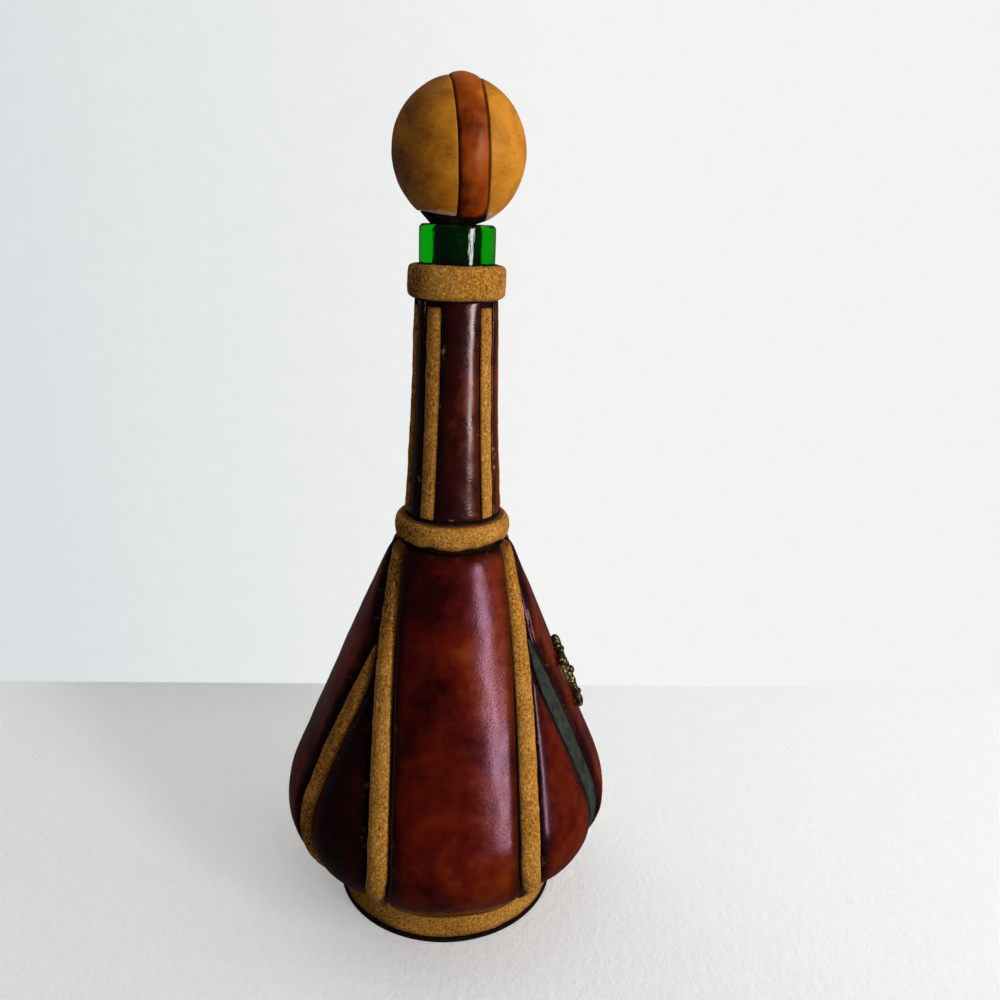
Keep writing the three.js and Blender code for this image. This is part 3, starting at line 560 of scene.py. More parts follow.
def rim_to_attribute(piece, fade=0, fuller=None):
    """Turns the border into an attribute that a material can read, and lets it fade over a distance.

    A fuller face rises faster from its border: it gives the roll it has, the roll it gets and the rise.
    """
    index = piece.vertex_groups["border"].index
    vertices = piece.data.vertices
    shares = [sum(entry.weight for entry in v.groups if entry.group == index) for v in vertices]
    if fade:
        normals = [v.normal.copy() for v in vertices]
        facing = [normal.dot(outward(v.co)) for v, normal in zip(vertices, normals)]
        border = [
            v.co.copy() for v, share, face in zip(vertices, shares, facing)
            if share > ON_BORDER and face > FACES_IN
        ]
        nearest = KDTree(len(border))
        for number, place in enumerate(border):
            nearest.insert(place, number)
        nearest.balance()
        distances = [nearest.find(v.co)[2] for v in vertices]
        shares = [max(1 - distance / fade, 0) for distance in distances]
        for v, normal, face, distance in zip(vertices, normals, facing, distances if fuller else ()):
            if face > FACES_OUT:
                had, gets, rise = fuller
                v.co += normal * rise * (rolled(distance, gets) - rolled(distance, had))
    rim = piece.data.attributes.new("rim", "FLOAT", "POINT")
    rim.data.foreach_set("value", shares)
    piece.vertex_groups.clear()


def polished_leather(
    name, tones, sheen, shine=0.34, polish=(0.19, 0.3), burnish_and_shade=0.92, wear=0.15, lighter_up=None,
):
    """Polished calf with chips and fine grain. Its border is dark, partly a burnish and partly painted shade
    in the seams, and its tone is painted darker round to the back and lighter to the front, as shade and
    light.

    Leather given lighter_up is lighter towards its top instead: it gives the two heights and the shift of
    tone.
    """
    material, tree, shader = new_material(name, Specular_IOR_Level=shine, Specular_Tint=sheen)
    place = object_place(tree)
    cloud = noise(tree, place, LEATHER_CLOUDS, detail=4, roughness=0.6, distortion=0.6)
    mottle = noise(tree, place, LEATHER_MOTTLE, detail=4, roughness=0.65)
    tone = maths(tree, "ADD", maths(tree, "MULTIPLY", cloud, 0.75), maths(tree, "MULTIPLY", mottle, 0.25))
    if lighter_up:
        low, high, shift = lighter_up
        tone = maths(tree, "ADD", tone, spread(tree, coordinate(tree, place, "Z"), low, high, -shift, shift))
    else:
        # Painted shade and light: darker round to the back, lighter to the front, darker again at the very
        # front and lighter again at the very back.
        side = behindness(tree, place)
        painted_shading = spread(tree, side, -PAINTED_SHADING_REACH, PAINTED_SHADING_REACH, PAINTED_SHADING_SHIFT, -PAINTED_SHADING_SHIFT)
        tone = maths(tree, "ADD", tone, painted_shading)
        tone = maths(tree, "SUBTRACT", tone, spread(tree, side, *FRONT_DARKENING_REACH, FRONT_DARKENING, 0))
        tone = maths(tree, "ADD", tone, spread(tree, side, *BACK_LIGHTENING_REACH, 0, BACK_LIGHTENING))
    colour = ramp(tree, tone, *zip(TONE_STOPS, tones))
    # Dark towards the border: partly a burnished finish, partly painted shade in the seams between the
    # pieces.
    rim = rim_of(tree)
    clouding = spread(tree, cloud, 0.3, 0.7, RIM_CLOUDING, -RIM_CLOUDING)
    shaded = maths(tree, "ADD", spread(tree, rim, 0, 1), clouding)
    shaded = maths(tree, "MULTIPLY", spread(tree, shaded, 0.15, 0.95), burnish_and_shade)
    colour = mixed(tree, shaded, colour, (*LEATHER_BLACK, 1))
    scratch = noise(tree, place, LEATHER_SCRATCHES, detail=5, roughness=0.7, distortion=0.4)
    near_rim = maths(tree, "MULTIPLY", spread(tree, rim, 0.6, 0.85), spread(tree, scratch, 0.6, 0.66))
    distance, chance = scattered(tree, place, LEATHER_CHIPS, "Green")
    ragged = maths(tree, "ADD", distance, spread(tree, scratch, 0.3, 0.7, -CHIP_RAGGED, CHIP_RAGGED))
    chip = maths(tree, "MULTIPLY", spread(tree, ragged, 0.04, 0.08, 1, 0), spread(tree, chance, 0.985, 0.99))
    worn = maths(tree, "MAXIMUM", maths(tree, "MULTIPLY", near_rim, wear), chip)
    colour = mixed(tree, worn, colour, (*LEATHER_CHIP, 1))
    tree.links.new(colour, shader.inputs["Base Color"])
    gloss = maths(tree, "ADD", spread(tree, mottle, 0.3, 0.7, *polish), maths(tree, "MULTIPLY", worn, 0.3))
    tree.links.new(gloss, shader.inputs["Roughness"])
    bent = stretched(tree, place, LEATHER_DRAWN)
    wrinkle = noise(tree, bent, LEATHER_WRINKLES, detail=3, roughness=0.6, distortion=0.8)
    cells = {"Vector": bent, "Scale": LEATHER_PEBBLES}
    pebble = wire(tree, "ShaderNodeTexVoronoi", cells, feature="SMOOTH_F1").outputs["Distance"]
    height = maths(tree, "ADD", maths(tree, "MULTIPLY", wrinkle, 0.6), maths(tree, "MULTIPLY", pebble, 0.4))
    height = maths(tree, "SUBTRACT", height, maths(tree, "MULTIPLY", worn, 0.5))
    bumped(tree, shader, height, LEATHER_DEPTH, 0.35)
    return material


red_leather = polished_leather("red_leather", LEATHER_TONES, LEATHER_SHEEN)
# Painted shade: the gussets take a darker copy of the same leather, for the shade on them.
shaded_gusset_leather = polished_leather("shaded_gusset_leather", GUSSET_SHADED_TONES, LEATHER_SHEEN)


def crease(piece):
    """Keeps a cover's sharp edges and its outline tighter when it is rounded off."""
    sides = {}
    for face in piece.data.polygons:
        wall_face = is_wall(face)
        for key in face.edge_keys:
            sides.setdefault(key, set()).add(wall_face)
    choose(piece)
    bpy.ops.object.mode_set(mode="EDIT")
    bpy.ops.mesh.select_mode(type="EDGE")
    bpy.ops.mesh.select_all(action="DESELECT")
    bpy.ops.mesh.edges_select_sharp(sharpness=CREASE_ANGLE)
    bpy.ops.object.mode_set(mode="OBJECT")
    for edge in piece.data.edges:
        edge.select = edge.select or len(sides[edge.key]) == 2
    bpy.ops.object.mode_set(mode="EDIT")
    bpy.ops.transform.edge_crease(value=CREASE_VALUE)
    bpy.ops.object.mode_set(mode="OBJECT")


def cover(node, name, material, slot, lumps, fade=0, drawn_up=0, fuller=None):
    """A glued cover: rounded all over, drawn up to what ends it, with the small unevenness of handwork."""
    piece = copy_of(node, name)
    mark_border(piece, is_wall)
    crease(piece)
    round_off(piece, COVER_LEVELS)
    rim_to_attribute(piece, fade, fuller)
    top = max(vertex.co.z for vertex in piece.data.vertices)
    for vertex in piece.data.vertices:
        share = max(1 - (top - vertex.co.z) / DRAWN_LENGTH, 0)
        vertex.co += (upright - outward(vertex.co) * CONE_SLOPE) * drawn_up * share
    uneven(piece, lumps)
    finish_piece(piece, material, "bottle", slot, node)
    return piece


for node in BODY_PANELS:
    panel = cover(
        node, f"{node}_leather", red_leather, "red_leather",
        PANEL_LUMPS, PANEL_FADE, DRAWN_UP, PANEL_FULLER,
    )
for quarter in QUARTERS:
    node = f"gusset_{quarter}"
    gusset = cover(node, f"{node}_leather", shaded_gusset_leather, "red_leather", GUSSET_LUMPS, GUSSET_FADE)


# Body strips
# Half-round cords of tan split leather, laid in the seams between the covers. The two short
# ones at the front are flat, recessed and dyed a dull green.
GREEN_DARK = (0.005, 0.007, 0.005)
GREEN_LIGHT = (0.05, 0.056, 0.04)
GREEN_WEATHERING = 210
GREEN_GRAIN = 900
GREEN_DEPTH = 0.0004
GREEN_LUMPS = ((0.006, 0.0004),)
STRIP_LUMPS = ((0.007, 0.0007), (0.0022, 0.0005))

green_leather, tree, shader = new_material("green_leather", Roughness=0.7)
place = object_place(tree)
weathered = noise(tree, place, GREEN_WEATHERING, detail=6, roughness=0.78)
tree.links.new(ramp(tree, weathered, (0.36, GREEN_DARK), (0.66, GREEN_LIGHT)), shader.inputs["Base Color"])
bumped(tree, shader, noise(tree, place, GREEN_GRAIN, detail=3, roughness=0.7), GREEN_DEPTH, 0.8)

for quarter in QUARTERS:
    node = f"long_strip_{quarter}"
    cover(node, f"long_cord_{quarter}", split, "split_leather", STRIP_LUMPS, drawn_up=DRAWN_UP)
    node = f"short_strip_{quarter}"
    if quarter.startswith("front"):
        cover(node, f"short_band_{quarter}", green_leather, "green_leather", GREEN_LUMPS)
    else:
        cover(node, f"short_cord_{quarter}", split, "split_leather", STRIP_LUMPS)


# Neck covers
# Six panels of the same leather round the neck, in darker tones, with half-round tan cords in the
# six seams between them. The panels are moulded over padding and glued, as on the body.
NECK_SIDES = ("front_left", "front_right", "right", "back_right", "back_left", "left")
NECK_TONES = ((0.006, 0.0007, 0.0005), (0.034, 0.0015, 0.0004), (0.2, 0.028, 0.0025))
NECK_SHEEN = (1, 0.78, 0.76, 1)
NECK_FADE = 0.0028
NECK_LUMPS = ((0.02, 0.0005), (0.006, 0.0002))
NECK_CORD_LUMPS = ((0.006, 0.0005), (0.0022, 0.0004))

neck_leather = polished_leather(
    "neck_leather", NECK_TONES, NECK_SHEEN, shine=0.7, polish=(0.17, 0.26), burnish_and_shade=0.7, wear=0.6,
)
for number, side in enumerate(NECK_SIDES, start=1):
    node = f"neck_panel_{side}"
    panel = cover(node, f"{node}_leather", neck_leather, "red_leather", NECK_LUMPS, NECK_FADE)
    cover(f"neck_strip_{number}", f"neck_cord_{number}", split, "split_leather", NECK_CORD_LUMPS)


# Neck rings
# Two thick bands of the same split leather, one over the upper ends of the body covers and one
# round the glass under the mouth. Both are cut by hand, so the lower edge of the first wanders.
RINGS = (("neck_base_ring", "neck_base_band"), ("neck_top_ring", "neck_top_band"))
RING_EDGE = 0.0005
RING_LUMPS = ((0.008, 0.0007), (0.0022, 0.0004))
CUT_DEPTH = 0.0012
CUT_INSET = 0.0012
CUT_FADE = 0.0014
BASE_RING_LIFT = 0.0022
BASE_RING_WAVES = ((2, 0.4, 0.0006), (5, 1.3, 0.0007), (9, 2.2, 0.0006), (17, 0.7, 0.0004))
WAVES_REACH = 0.75


def radius_of(vertex):
    """A vertex's distance from the decanter's axis."""
    return math.hypot(vertex.co.x, vertex.co.y)


def mark_ring_edges(piece, low, high):
    """Marks a ring's upper and lower faces as its border, to be coloured dark as painted shade of the gaps
    above and below it.
    """
    group = piece.vertex_groups.new(name="border")
    outer = max(radius_of(v) for v in piece.data.vertices)
    for vertex in piece.data.vertices:
        depth = min(vertex.co.z - low, high - vertex.co.z)
        share = min(max((outer - radius_of(vertex) - CUT_INSET) / CUT_FADE, 0), 1)
        if depth < CUT_DEPTH and share > 0:
            group.add([vertex.index], share, "REPLACE")


for node, name in RINGS:
    ring = copy_of(node, name)
    ring_low, ring_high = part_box(node)
    soften(ring, RING_EDGE, segments=2)
    round_off(ring, levels=2)
    mark_ring_edges(ring, ring_low.z, ring_high.z)
    rim_to_attribute(ring)
    if node == "neck_base_ring":
        ring_inner = min(radius_of(v) for v in ring.data.vertices)
        waves_height = WAVES_REACH * (ring_high.z - ring_low.z)
        for vertex in ring.data.vertices:
            angle = math.atan2(vertex.co.y, vertex.co.x)
            reach = (radius_of(vertex) - ring_inner) / (ring_high.x - ring_inner)
            below = max(1 - (vertex.co.z - ring_low.z) / waves_height, 0)
            wander = sum(depth * math.sin(count * angle + start) for count, start, depth in BASE_RING_WAVES)
            vertex.co.z += (BASE_RING_LIFT + wander) * reach * below
    uneven(ring, RING_LUMPS)
    finish_piece(ring, split, "bottle", "split_leather", node)


# Glue beads and painted shade
# Dark glue fills the corners above and below the base ring and below the top ring, where the
# leather stops short of the glass. Each is a thin uneven bead, laid round the neck. Their dark is
# partly painted shade, for the shade that falls in these corners.
GLUE_AND_SHADE_BEADS = (
    ("neck_base_ring", "low", 0.0015),
    ("neck_base_ring", "high", 0.001),
    ("neck_top_ring", "low", 0.001),
)
GLUE_OUT = 0.4
GLUE_LUMPS = ((0.004, 0.0004),)

for node, end, size in GLUE_AND_SHADE_BEADS:
    ring_low, ring_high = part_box(node)
    inner = min(radius_of(v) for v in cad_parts[node].data.vertices)
    height = ring_low.z if end == "low" else ring_high.z
    bpy.ops.object.select_all(action="DESELECT")
    bpy.ops.mesh.primitive_torus_add(
        major_radius=inner + GLUE_OUT * size, minor_radius=size, location=(0, 0, height),
        major_segments=96, minor_segments=12,
    )
    glue_and_shade_bead = bpy.context.object
    glue_and_shade_bead.name = f"glue_and_shade_bead_{node}_{end}"
    bpy.ops.object.transform_apply(location=True, rotation=True, scale=True)
    uneven(glue_and_shade_bead, GLUE_LUMPS)
    finish_piece(glue_and_shade_bead, backing, "bottle", "dark_backing")


# Ornament
# A cast brass mount on the front panel: an oval rope frame round a rosette, with scrolls at its
# corners, a palmette above and a drop below. It is pinned to the leather and dark in its hollows.
BRASS_DARK = (0.02, 0.016, 0.007)
BRASS_WARM = (0.15, 0.11, 0.045)
BRASS_BRIGHT = (0.5, 0.4, 0.2)
BRASS_CLOUDS = 700
BRASS_GRAIN = 1600
BRASS_DEPTH = 0.0002
FRAME_RADIUS = 0.0066
FRAME_ROD = 0.0009
FRAME_STRETCH = 1.35
ROPE_BEADS = 26
ROPE_BEAD = 0.00085
ROPE_OFF = 0.0011
PETALS = 8
PETAL = 0.0021
PETAL_OFF = 0.0006
PETAL_STRETCH = (1, 0.5, 0.75)
PETAL_RING = (0.0028, 0.0034)
CORNER = (0.0078, 0.0092)
CORNER_BEAD = 0.0011
CORNER_OFF = 0.0014
SCROLL_SIZE = 0.0031
SCROLL_ROD = 0.0008
SCROLL_STEPS = 30
SCROLL_START = 0.4
SCROLL_WIND = 8.2
SCROLL_CLOSING = 0.8
SCROLL_OFF = 0.0009
SCROLL_RISE = 0.0008
SCROLL_THICK = 1.25
SCROLL_TAPER = 0.4
LEAVES = range(-2, 3)
LEAF = 0.0029
LEAF_OFF = 0.0007
LEAF_STRETCH = (0.36, 1, 0.5)
LEAF_TURN = 0.42
LEAF_FAN = (0.0042, 0.0036)
LEAF_ROOT = 0.0108
SIDE_DROP = (0.0024, -0.0122, 0.0006, 0.0025)
SIDE_DROP_STRETCH = (0.45, 1, 0.5)
SIDE_DROP_TURN = 0.456
# Single beads: place across, up and off the panel, size and stretch.
HEART = (0, 0, 0.0015, 0.0019, (1, 1.1, 0.8))
PLATE = (0, 0, 0, FRAME_RADIUS, (1, FRAME_STRETCH, 0.09))
TOP_KNOT = (0, 0.0107, 0.001, 0.0017, (1.5, 0.9, 0.8))
LOW_KNOT = (0, -0.0107, 0.001, 0.0018, (1.2, 0.9, 0.8))
DROP = (0, -0.0145, 0.0005, 0.0029, (0.5, 1, 0.5))
CAST_VOXEL = 0.00028
ORNAMENT_STRETCH = 1.07
ORNAMENT_RELIEF = 1.4
ORNAMENT_OFF = 0.0004
BEFORE_PANEL = -0.2

antique_brass, tree, shader = new_material("antique_brass", Metallic=1)
place = object_place(tree)
worn = spread(tree, wire(tree, "ShaderNodeNewGeometry").outputs["Pointiness"], 0.44, 0.58)
cloud = spread(tree, noise(tree, place, BRASS_CLOUDS, detail=4), 0.3, 0.7, -0.25, 0.25)
patina = maths(tree, "ADD", worn, cloud)
colour = ramp(tree, patina, (0.1, BRASS_DARK), (0.5, BRASS_WARM), (0.95, BRASS_BRIGHT))
tree.links.new(colour, shader.inputs["Base Color"])
tree.links.new(spread(tree, patina, 0, 1, 0.62, 0.3), shader.inputs["Roughness"])
bumped(tree, shader, noise(tree, place, BRASS_GRAIN), BRASS_DEPTH, 0.7)

cast = []


def bead(u, v, w, size, stretch=(1, 1, 1), turn=0):
    """A rounded lump of the casting, laid out flat: u across, v up and w off the panel."""
    bpy.ops.object.select_all(action="DESELECT")
    bpy.ops.mesh.primitive_uv_sphere_add(segments=16, ring_count=10, radius=size, location=(u, v, w))
    bpy.context.object.scale = stretch
    bpy.context.object.rotation_euler = (0, 0, turn)
    cast.append(bpy.context.object)


def scroll(u, v, way, up):
    """A C-scroll: a rod that winds in on itself, thick at its outer end."""
    curve = bpy.data.curves.new("scroll", "CURVE")
    curve.dimensions = "3D"
    curve.bevel_depth = SCROLL_ROD
    curve.bevel_resolution = 3
    curve.use_fill_caps = True
    spline = curve.splines.new("POLY")
    spline.points.add(SCROLL_STEPS)
    for index, knot in enumerate(spline.points):
        share = index / SCROLL_STEPS
        angle = SCROLL_START + share * SCROLL_WIND
        radius = SCROLL_SIZE * (1 - SCROLL_CLOSING * share)
        across = u + way * radius * math.cos(angle)
        along = v + up * radius * math.sin(angle)
        knot.co = (across, along, SCROLL_OFF + SCROLL_RISE * share, 1)
        knot.radius = SCROLL_THICK - SCROLL_TAPER * share
    rod = bpy.data.objects.new("scroll", curve)
    bpy.context.collection.objects.link(rod)
    choose(rod)
    bpy.ops.object.convert(target="MESH")
    cast.append(bpy.context.object)


# The rope frame.
bpy.ops.object.select_all(action="DESELECT")
bpy.ops.mesh.primitive_torus_add(
    major_radius=FRAME_RADIUS, minor_radius=FRAME_ROD, major_segments=48, minor_segments=10,
)
bpy.context.object.scale = (1, FRAME_STRETCH, 1)
cast.append(bpy.context.object)
for index in range(ROPE_BEADS):
    angle = index * math.tau / ROPE_BEADS
    rope_v = FRAME_STRETCH * FRAME_RADIUS * math.sin(angle)
    bead(FRAME_RADIUS * math.cos(angle), rope_v, ROPE_OFF, ROPE_BEAD)

# The rosette, its heart and the plate behind it.
for index in range(PETALS):
    angle = index * math.tau / PETALS
    petal_u, petal_v = PETAL_RING
    bead(petal_u * math.cos(angle), petal_v * math.sin(angle), PETAL_OFF, PETAL, PETAL_STRETCH, angle)
bead(*HEART)
bead(*PLATE)

# The corner scrolls.
for way in (-1, 1):
    for up in (-1, 1):
        corner_u, corner_v = way * CORNER[0], up * CORNER[1]
        scroll(corner_u, corner_v, way, up)
        bead(corner_u, corner_v, CORNER_OFF, CORNER_BEAD)

# The palmette, the two knots at the frame's ends and the drop.
for index in LEAVES:
    angle = index * LEAF_TURN
    leaf_u = LEAF_FAN[0] * math.sin(angle)
    leaf_v = LEAF_ROOT + LEAF_FAN[1] * math.cos(angle)
    bead(leaf_u, leaf_v, LEAF_OFF, LEAF, LEAF_STRETCH, -angle)
bead(*TOP_KNOT)
bead(*LOW_KNOT)
bead(*DROP)
for way in (-1, 1):
    side_u, side_v, side_w, side_size = SIDE_DROP
    bead(way * side_u, side_v, side_w, side_size, SIDE_DROP_STRETCH, way * SIDE_DROP_TURN)

bpy.ops.object.select_all(action="DESELECT")
for lump in cast:
    lump.select_set(True)
ornament = cast[0]
ornament.name = "brass_mount"
bpy.context.view_layer.objects.active = ornament
bpy.ops.object.transform_apply(location=True, rotation=True, scale=True)
bpy.ops.object.join()
change(ornament, "REMESH", mode="VOXEL", voxel_size=CAST_VOXEL)
change(ornament, "SMOOTH", factor=0.5, iterations=2)

mount_low, mount_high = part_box("ornament")
mount_middle = (mount_low.z + mount_high.z) / 2
front_panel = bpy.data.objects["front_panel_leather"]


def on_front_panel(u, height):
    """The place on the front panel's outer side that lies this far across and this high."""
    return front_panel.ray_cast(Vector((u, BEFORE_PANEL, height)), Vector((0, 1, 0)))[1]


low_hit = on_front_panel(0, mount_low.z)
high_hit = on_front_panel(0, mount_high.z)
panel_lean = math.atan2(high_hit.y - low_hit.y, high_hit.z - low_hit.z)
off_panel = Vector((0, -math.cos(panel_lean), math.sin(panel_lean)))
for vertex in ornament.data.vertices:
    u, v, w = vertex.co
    height = mount_middle + v * ORNAMENT_STRETCH * math.cos(panel_lean)
    vertex.co = on_front_panel(u, height) + off_panel * (w * ORNAMENT_RELIEF + ORNAMENT_OFF)
finish_piece(ornament, antique_brass, "bottle", "antique_brass", "ornament")


# Stopper inside
# A turned wooden ball, a dowel that joins it to the cork, a dark leather washer under the ball
# and the cork, pressed into the mouth and coloured dark.
WOOD_DARK = (0.16, 0.075, 0.03)
WOOD_LIGHT = (0.42, 0.25, 0.11)
WOOD_GRAIN = 420
WOOD_DRAWN = (1, 1, 0.12)
WOOD_DEPTH = 0.0003
CORK_DARK = (0.02, 0.011, 0.006)
CORK_LIGHT = (0.13, 0.07, 0.032)
CORK_CELLS = 480
CORK_DEPTH = 0.0006
CORK_EDGE = 0.0004
CORK_RADIUS = 0.00605
CORK_SIDE_FROM = 0.0045
CORK_STRAIGHT_LOW = 0.2645
WASHER_LOW = 0.28655
WASHER_HIGH = 0.2907
WASHER_LOW_RADIUS = 0.0102
WASHER_HIGH_RADIUS = 0.0142
WASHER_RINGS = 6
WASHER_TUCK = 0.0004
WASHER_SHOWS_FROM = -0.002
WASHER_SHOWS_OVER = 0.005
WASHER_EDGE = 0.0003
WASHER_LUMPS = ((0.004, 0.0002),)
BALL_RADIUS = 0.0244
BALL_HALF_HEIGHT = 0.0258
BALL_STRETCH = BALL_HALF_HEIGHT / BALL_RADIUS
BALL_MIDDLE = Vector((0, 0, 0.3113))

turned_wood, tree, shader = new_material("turned_wood", Roughness=0.6)
grain_place = stretched(tree, object_place(tree), WOOD_DRAWN)
grain = noise(tree, grain_place, WOOD_GRAIN, detail=4, roughness=0.6, distortion=0.5)
tree.links.new(ramp(tree, grain, (0.3, WOOD_DARK), (0.7, WOOD_LIGHT)), shader.inputs["Base Color"])
bumped(tree, shader, grain, WOOD_DEPTH)

cork_bark, tree, shader = new_material("cork_bark", Roughness=0.85)
cells = noise(tree, object_place(tree), CORK_CELLS, detail=5, roughness=0.7)
tree.links.new(ramp(tree, cells, (0.32, CORK_DARK), (0.72, CORK_LIGHT)), shader.inputs["Base Color"])
bumped(tree, shader, cells, CORK_DEPTH)

refinish(turned_wood, "stopper_core", "stopper_dowel")

washer_height = WASHER_HIGH - WASHER_LOW
bpy.ops.object.select_all(action="DESELECT")
bpy.ops.mesh.primitive_cylinder_add(
    vertices=96, radius=WASHER_LOW_RADIUS, depth=washer_height,
    location=(0, 0, (WASHER_LOW + WASHER_HIGH) / 2),
)
washer = bpy.context.object
washer.name = "stopper_washer"
bpy.ops.object.transform_apply(location=True, rotation=False, scale=False)
for index in range(1, WASHER_RINGS):
    cut = WASHER_LOW + washer_height * index / WASHER_RINGS
    bpy.ops.object.mode_set(mode="EDIT")
    bpy.ops.mesh.select_all(action="SELECT")
    bpy.ops.mesh.bisect(plane_co=(0, 0, cut), plane_no=(0, 0, 1))
    bpy.ops.object.mode_set(mode="OBJECT")
for vertex in washer.data.vertices:
    share = (vertex.co.z - WASHER_LOW) / washer_height
    cone = WASHER_LOW_RADIUS + (WASHER_HIGH_RADIUS - WASHER_LOW_RADIUS) * share
    drop = (BALL_MIDDLE.z - vertex.co.z) / BALL_HALF_HEIGHT
    under_ball = BALL_RADIUS * math.sqrt(1 - drop * drop) - WASHER_TUCK
    shows = min(max((vertex.co.y - WASHER_SHOWS_FROM) / WASHER_SHOWS_OVER, 0), 1)
    radius = cone * shows + min(cone, under_ball) * (1 - shows)
    vertex.co.x *= radius / WASHER_LOW_RADIUS
    vertex.co.y *= radius / WASHER_LOW_RADIUS
soften(washer, WASHER_EDGE, segments=2, angle=50)
uneven(washer, WASHER_LUMPS)
finish_piece(washer, backing, "stopper", "dark_backing", "stopper_seat")

cork = copy_of("cork_plug", "cork_stopper")
soften(cork, CORK_EDGE, segments=2)
round_off(cork, levels=2)
for vertex in cork.data.vertices:
    radius = radius_of(vertex)
    if radius > CORK_SIDE_FROM and vertex.co.z > CORK_STRAIGHT_LOW:
        vertex.co.x *= CORK_RADIUS / radius
        vertex.co.y *= CORK_RADIUS / radius
finish_piece(cork, cork_bark, "stopper", "cork", "cork_plug")


# Ball caps
# Two caps of natural tan leather, moulded wet over the wooden ball. They are trimmed beside the
# strap and above the mouth, and have faint grain lines, pores and darker clouds of polish.
CAP_BURNT = (0.1, 0.024, 0.0015)
CAP_DARK = (0.3, 0.095, 0.003)
CAP_TAN = (0.54, 0.185, 0.005)
CAP_GOLD = (0.74, 0.28, 0.014)
CAP_RAW = (0.7, 0.42, 0.2)
CAP_RAW_BELOW = 0.2925
CAP_RAW_FACES = -0.8
CAP_CLOUDS = 90
CAP_STREAKS = 520
CAP_DRAWN = (1, 0.3, 1.4)
CAP_PAINTED_SHADING = (0.23, 0.05)
CAP_PAINTED_SHADING_REACH = (-0.012, 0.022)
CAP_PORES = 380
CAP_DEPTH = 0.0002
CAP_THICKNESS = 0.002
CAP_EDGE = 0.0005
CAP_LUMPS = ((0.014, 0.0005),)
STRAP_TURN = math.radians(4)
STRAP_LEAN = math.radians(-3.2)
# Each cap: its node, its side, its seam's distance from the ball's middle, its lower cut's tilt and height.
CAPS = (
    ("stopper_cap_back", 1, 0.0034, (0, -0.14, 1), 0.2888),
    ("stopper_cap_front", -1, 0.008, (0, 0, 1), 0.2873),
)

tan_leather, tree, shader = new_material("tan_leather", Roughness=0.5, Specular_IOR_Level=0.25)
place = object_place(tree)
cloud = noise(tree, place, CAP_CLOUDS, detail=6, roughness=0.62, distortion=0.4)
streak = noise(tree, stretched(tree, place, CAP_DRAWN), CAP_STREAKS, detail=5, roughness=0.72)
tone = maths(tree, "ADD", maths(tree, "MULTIPLY", cloud, 0.5), maths(tree, "MULTIPLY", streak, 0.22))
# Painted light and shade: the caps are lighter towards the front and darker towards the back.
painted_shading = spread(tree, coordinate(tree, place, "Y"), *CAP_PAINTED_SHADING_REACH, *CAP_PAINTED_SHADING)
tone = maths(tree, "ADD", tone, painted_shading)
colour = ramp(tree, tone, (0.3, CAP_BURNT), (0.4, CAP_DARK), (0.52, CAP_TAN), (0.64, CAP_GOLD))
distance, chance = scattered(tree, place, CAP_PORES)
pore = maths(tree, "MULTIPLY", spread(tree, distance, 0.08, 0.2, 1, 0), spread(tree, chance, 0.8, 0.85))
colour = mixed(tree, maths(tree, "MULTIPLY", pore, 0.4), colour, (*CAP_BURNT, 1))
colour = mixed(tree, spread(tree, rim_of(tree), 0.4, 0.9, 0, 0.9), colour, (*CAP_RAW, 1))
tree.links.new(colour, shader.inputs["Base Color"])
height = maths(tree, "SUBTRACT", maths(tree, "MULTIPLY", streak, 0.5), pore)
bumped(tree, shader, height, CAP_DEPTH, 0.5)


def is_raw(face):
    """Whether a cap's face is the raw leather of its lower cut."""
    return face.normal.z < CAP_RAW_FACES and face.center.z < CAP_RAW_BELOW


strap_lean = Matrix.Rotation(STRAP_LEAN, 3, "X")
cap_axis = strap_lean @ Matrix.Rotation(STRAP_TURN, 3, "Z") @ Vector((0, 1, 0))

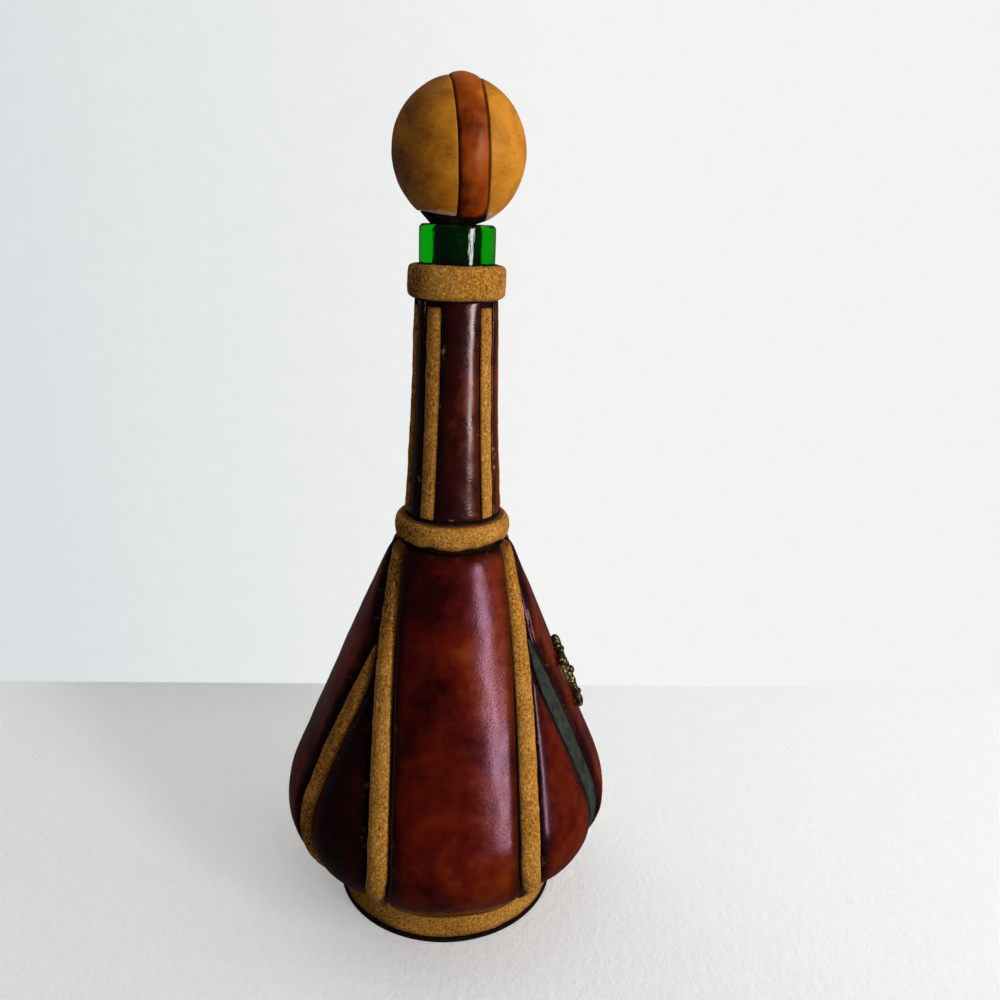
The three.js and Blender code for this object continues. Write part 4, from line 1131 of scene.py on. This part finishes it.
for node, way, seam, slant, trim in CAPS:
    cap_side = cap_axis * way
    bpy.ops.object.select_all(action="DESELECT")
    aim = cap_side.to_track_quat("Z", "Y").to_euler()
    bpy.ops.mesh.primitive_uv_sphere_add(segments=64, ring_count=48, radius=BALL_RADIUS, rotation=aim)
    cap = bpy.context.object
    cap.name = f"{node}_leather"
    bpy.ops.object.transform_apply(location=False, rotation=True, scale=False)
    cap.scale = (1, 1, BALL_STRETCH)
    cap.location = BALL_MIDDLE
    bpy.ops.object.transform_apply(location=True, rotation=False, scale=True)
    bpy.ops.object.mode_set(mode="EDIT")
    bpy.ops.mesh.select_all(action="SELECT")
    bpy.ops.mesh.bisect(plane_co=BALL_MIDDLE + cap_side * seam, plane_no=cap_side, clear_inner=True)
    bpy.ops.mesh.select_all(action="SELECT")
    bpy.ops.mesh.bisect(plane_co=(0, 0, trim), plane_no=slant, clear_inner=True)
    bpy.ops.object.mode_set(mode="OBJECT")
    change(cap, "SOLIDIFY", thickness=CAP_THICKNESS, offset=-1)
    mark_border(cap, is_raw)
    soften(cap, CAP_EDGE)
    rim_to_attribute(cap)
    uneven(cap, CAP_LUMPS)
    finish_piece(cap, tan_leather, "stopper", "tan_leather", node)


# Stopper strap
# A padded strap of the polished leather, worn to a warm orange-brown, that runs over the ball
# between the caps and is glued down at both ends.
STRAP_TONES = ((0.1, 0.008, 0.0006), (0.44, 0.075, 0.0015), (0.78, 0.24, 0.008))
STRAP_SHEEN = (1, 0.75, 0.5, 1)
STRAP_LIGHTER_UP = (0.29, 0.335, 0.1)
STRAP_FADE = 0.0009
STRAP_SHIFT = Vector((0, -0.0004, 0))
STRAP_FULLER = 1.06
STRAP_DRAWN_FROM = math.radians(115)
STRAP_DRAWN = 0.2
STRAP_LUMPS = ((0.009, 0.0006),)

strap_leather = polished_leather(
    "strap_leather", STRAP_TONES, STRAP_SHEEN,
    shine=0.28, polish=(0.3, 0.5), burnish_and_shade=0.8, wear=0, lighter_up=STRAP_LIGHTER_UP,
)


def is_strap_wall(face):
    """Whether a face belongs to the strap's walls or its back, and not to its outer side."""
    return face.normal.dot((face.center - BALL_MIDDLE).normalized()) < FACES_OUT


strap = copy_of("stopper_strap", "stopper_strap_leather")
mark_border(strap, is_strap_wall)
round_off(strap, COVER_LEVELS)
rim_to_attribute(strap, STRAP_FADE)
strap_low, strap_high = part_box("stopper_strap")
strap_middle = (strap_low.y + strap_high.y) / 2
for vertex in strap.data.vertices:
    across = vertex.co.x
    up = (vertex.co.z - BALL_MIDDLE.z) / BALL_STRETCH
    angle = math.atan2(abs(across), up)
    angle += max(angle - STRAP_DRAWN_FROM, 0) * STRAP_DRAWN
    vertex.co.x = math.copysign(math.hypot(across, up) * math.sin(angle), across)
    vertex.co.z = BALL_MIDDLE.z + math.hypot(across, up) * math.cos(angle) * BALL_STRETCH
    vertex.co.y = strap_middle + (vertex.co.y - strap_middle) * STRAP_FULLER
    vertex.co = BALL_MIDDLE + strap_lean @ (vertex.co - BALL_MIDDLE) + STRAP_SHIFT
uneven(strap, STRAP_LUMPS)
finish_piece(strap, strap_leather, "stopper", "red_leather", "stopper_strap")
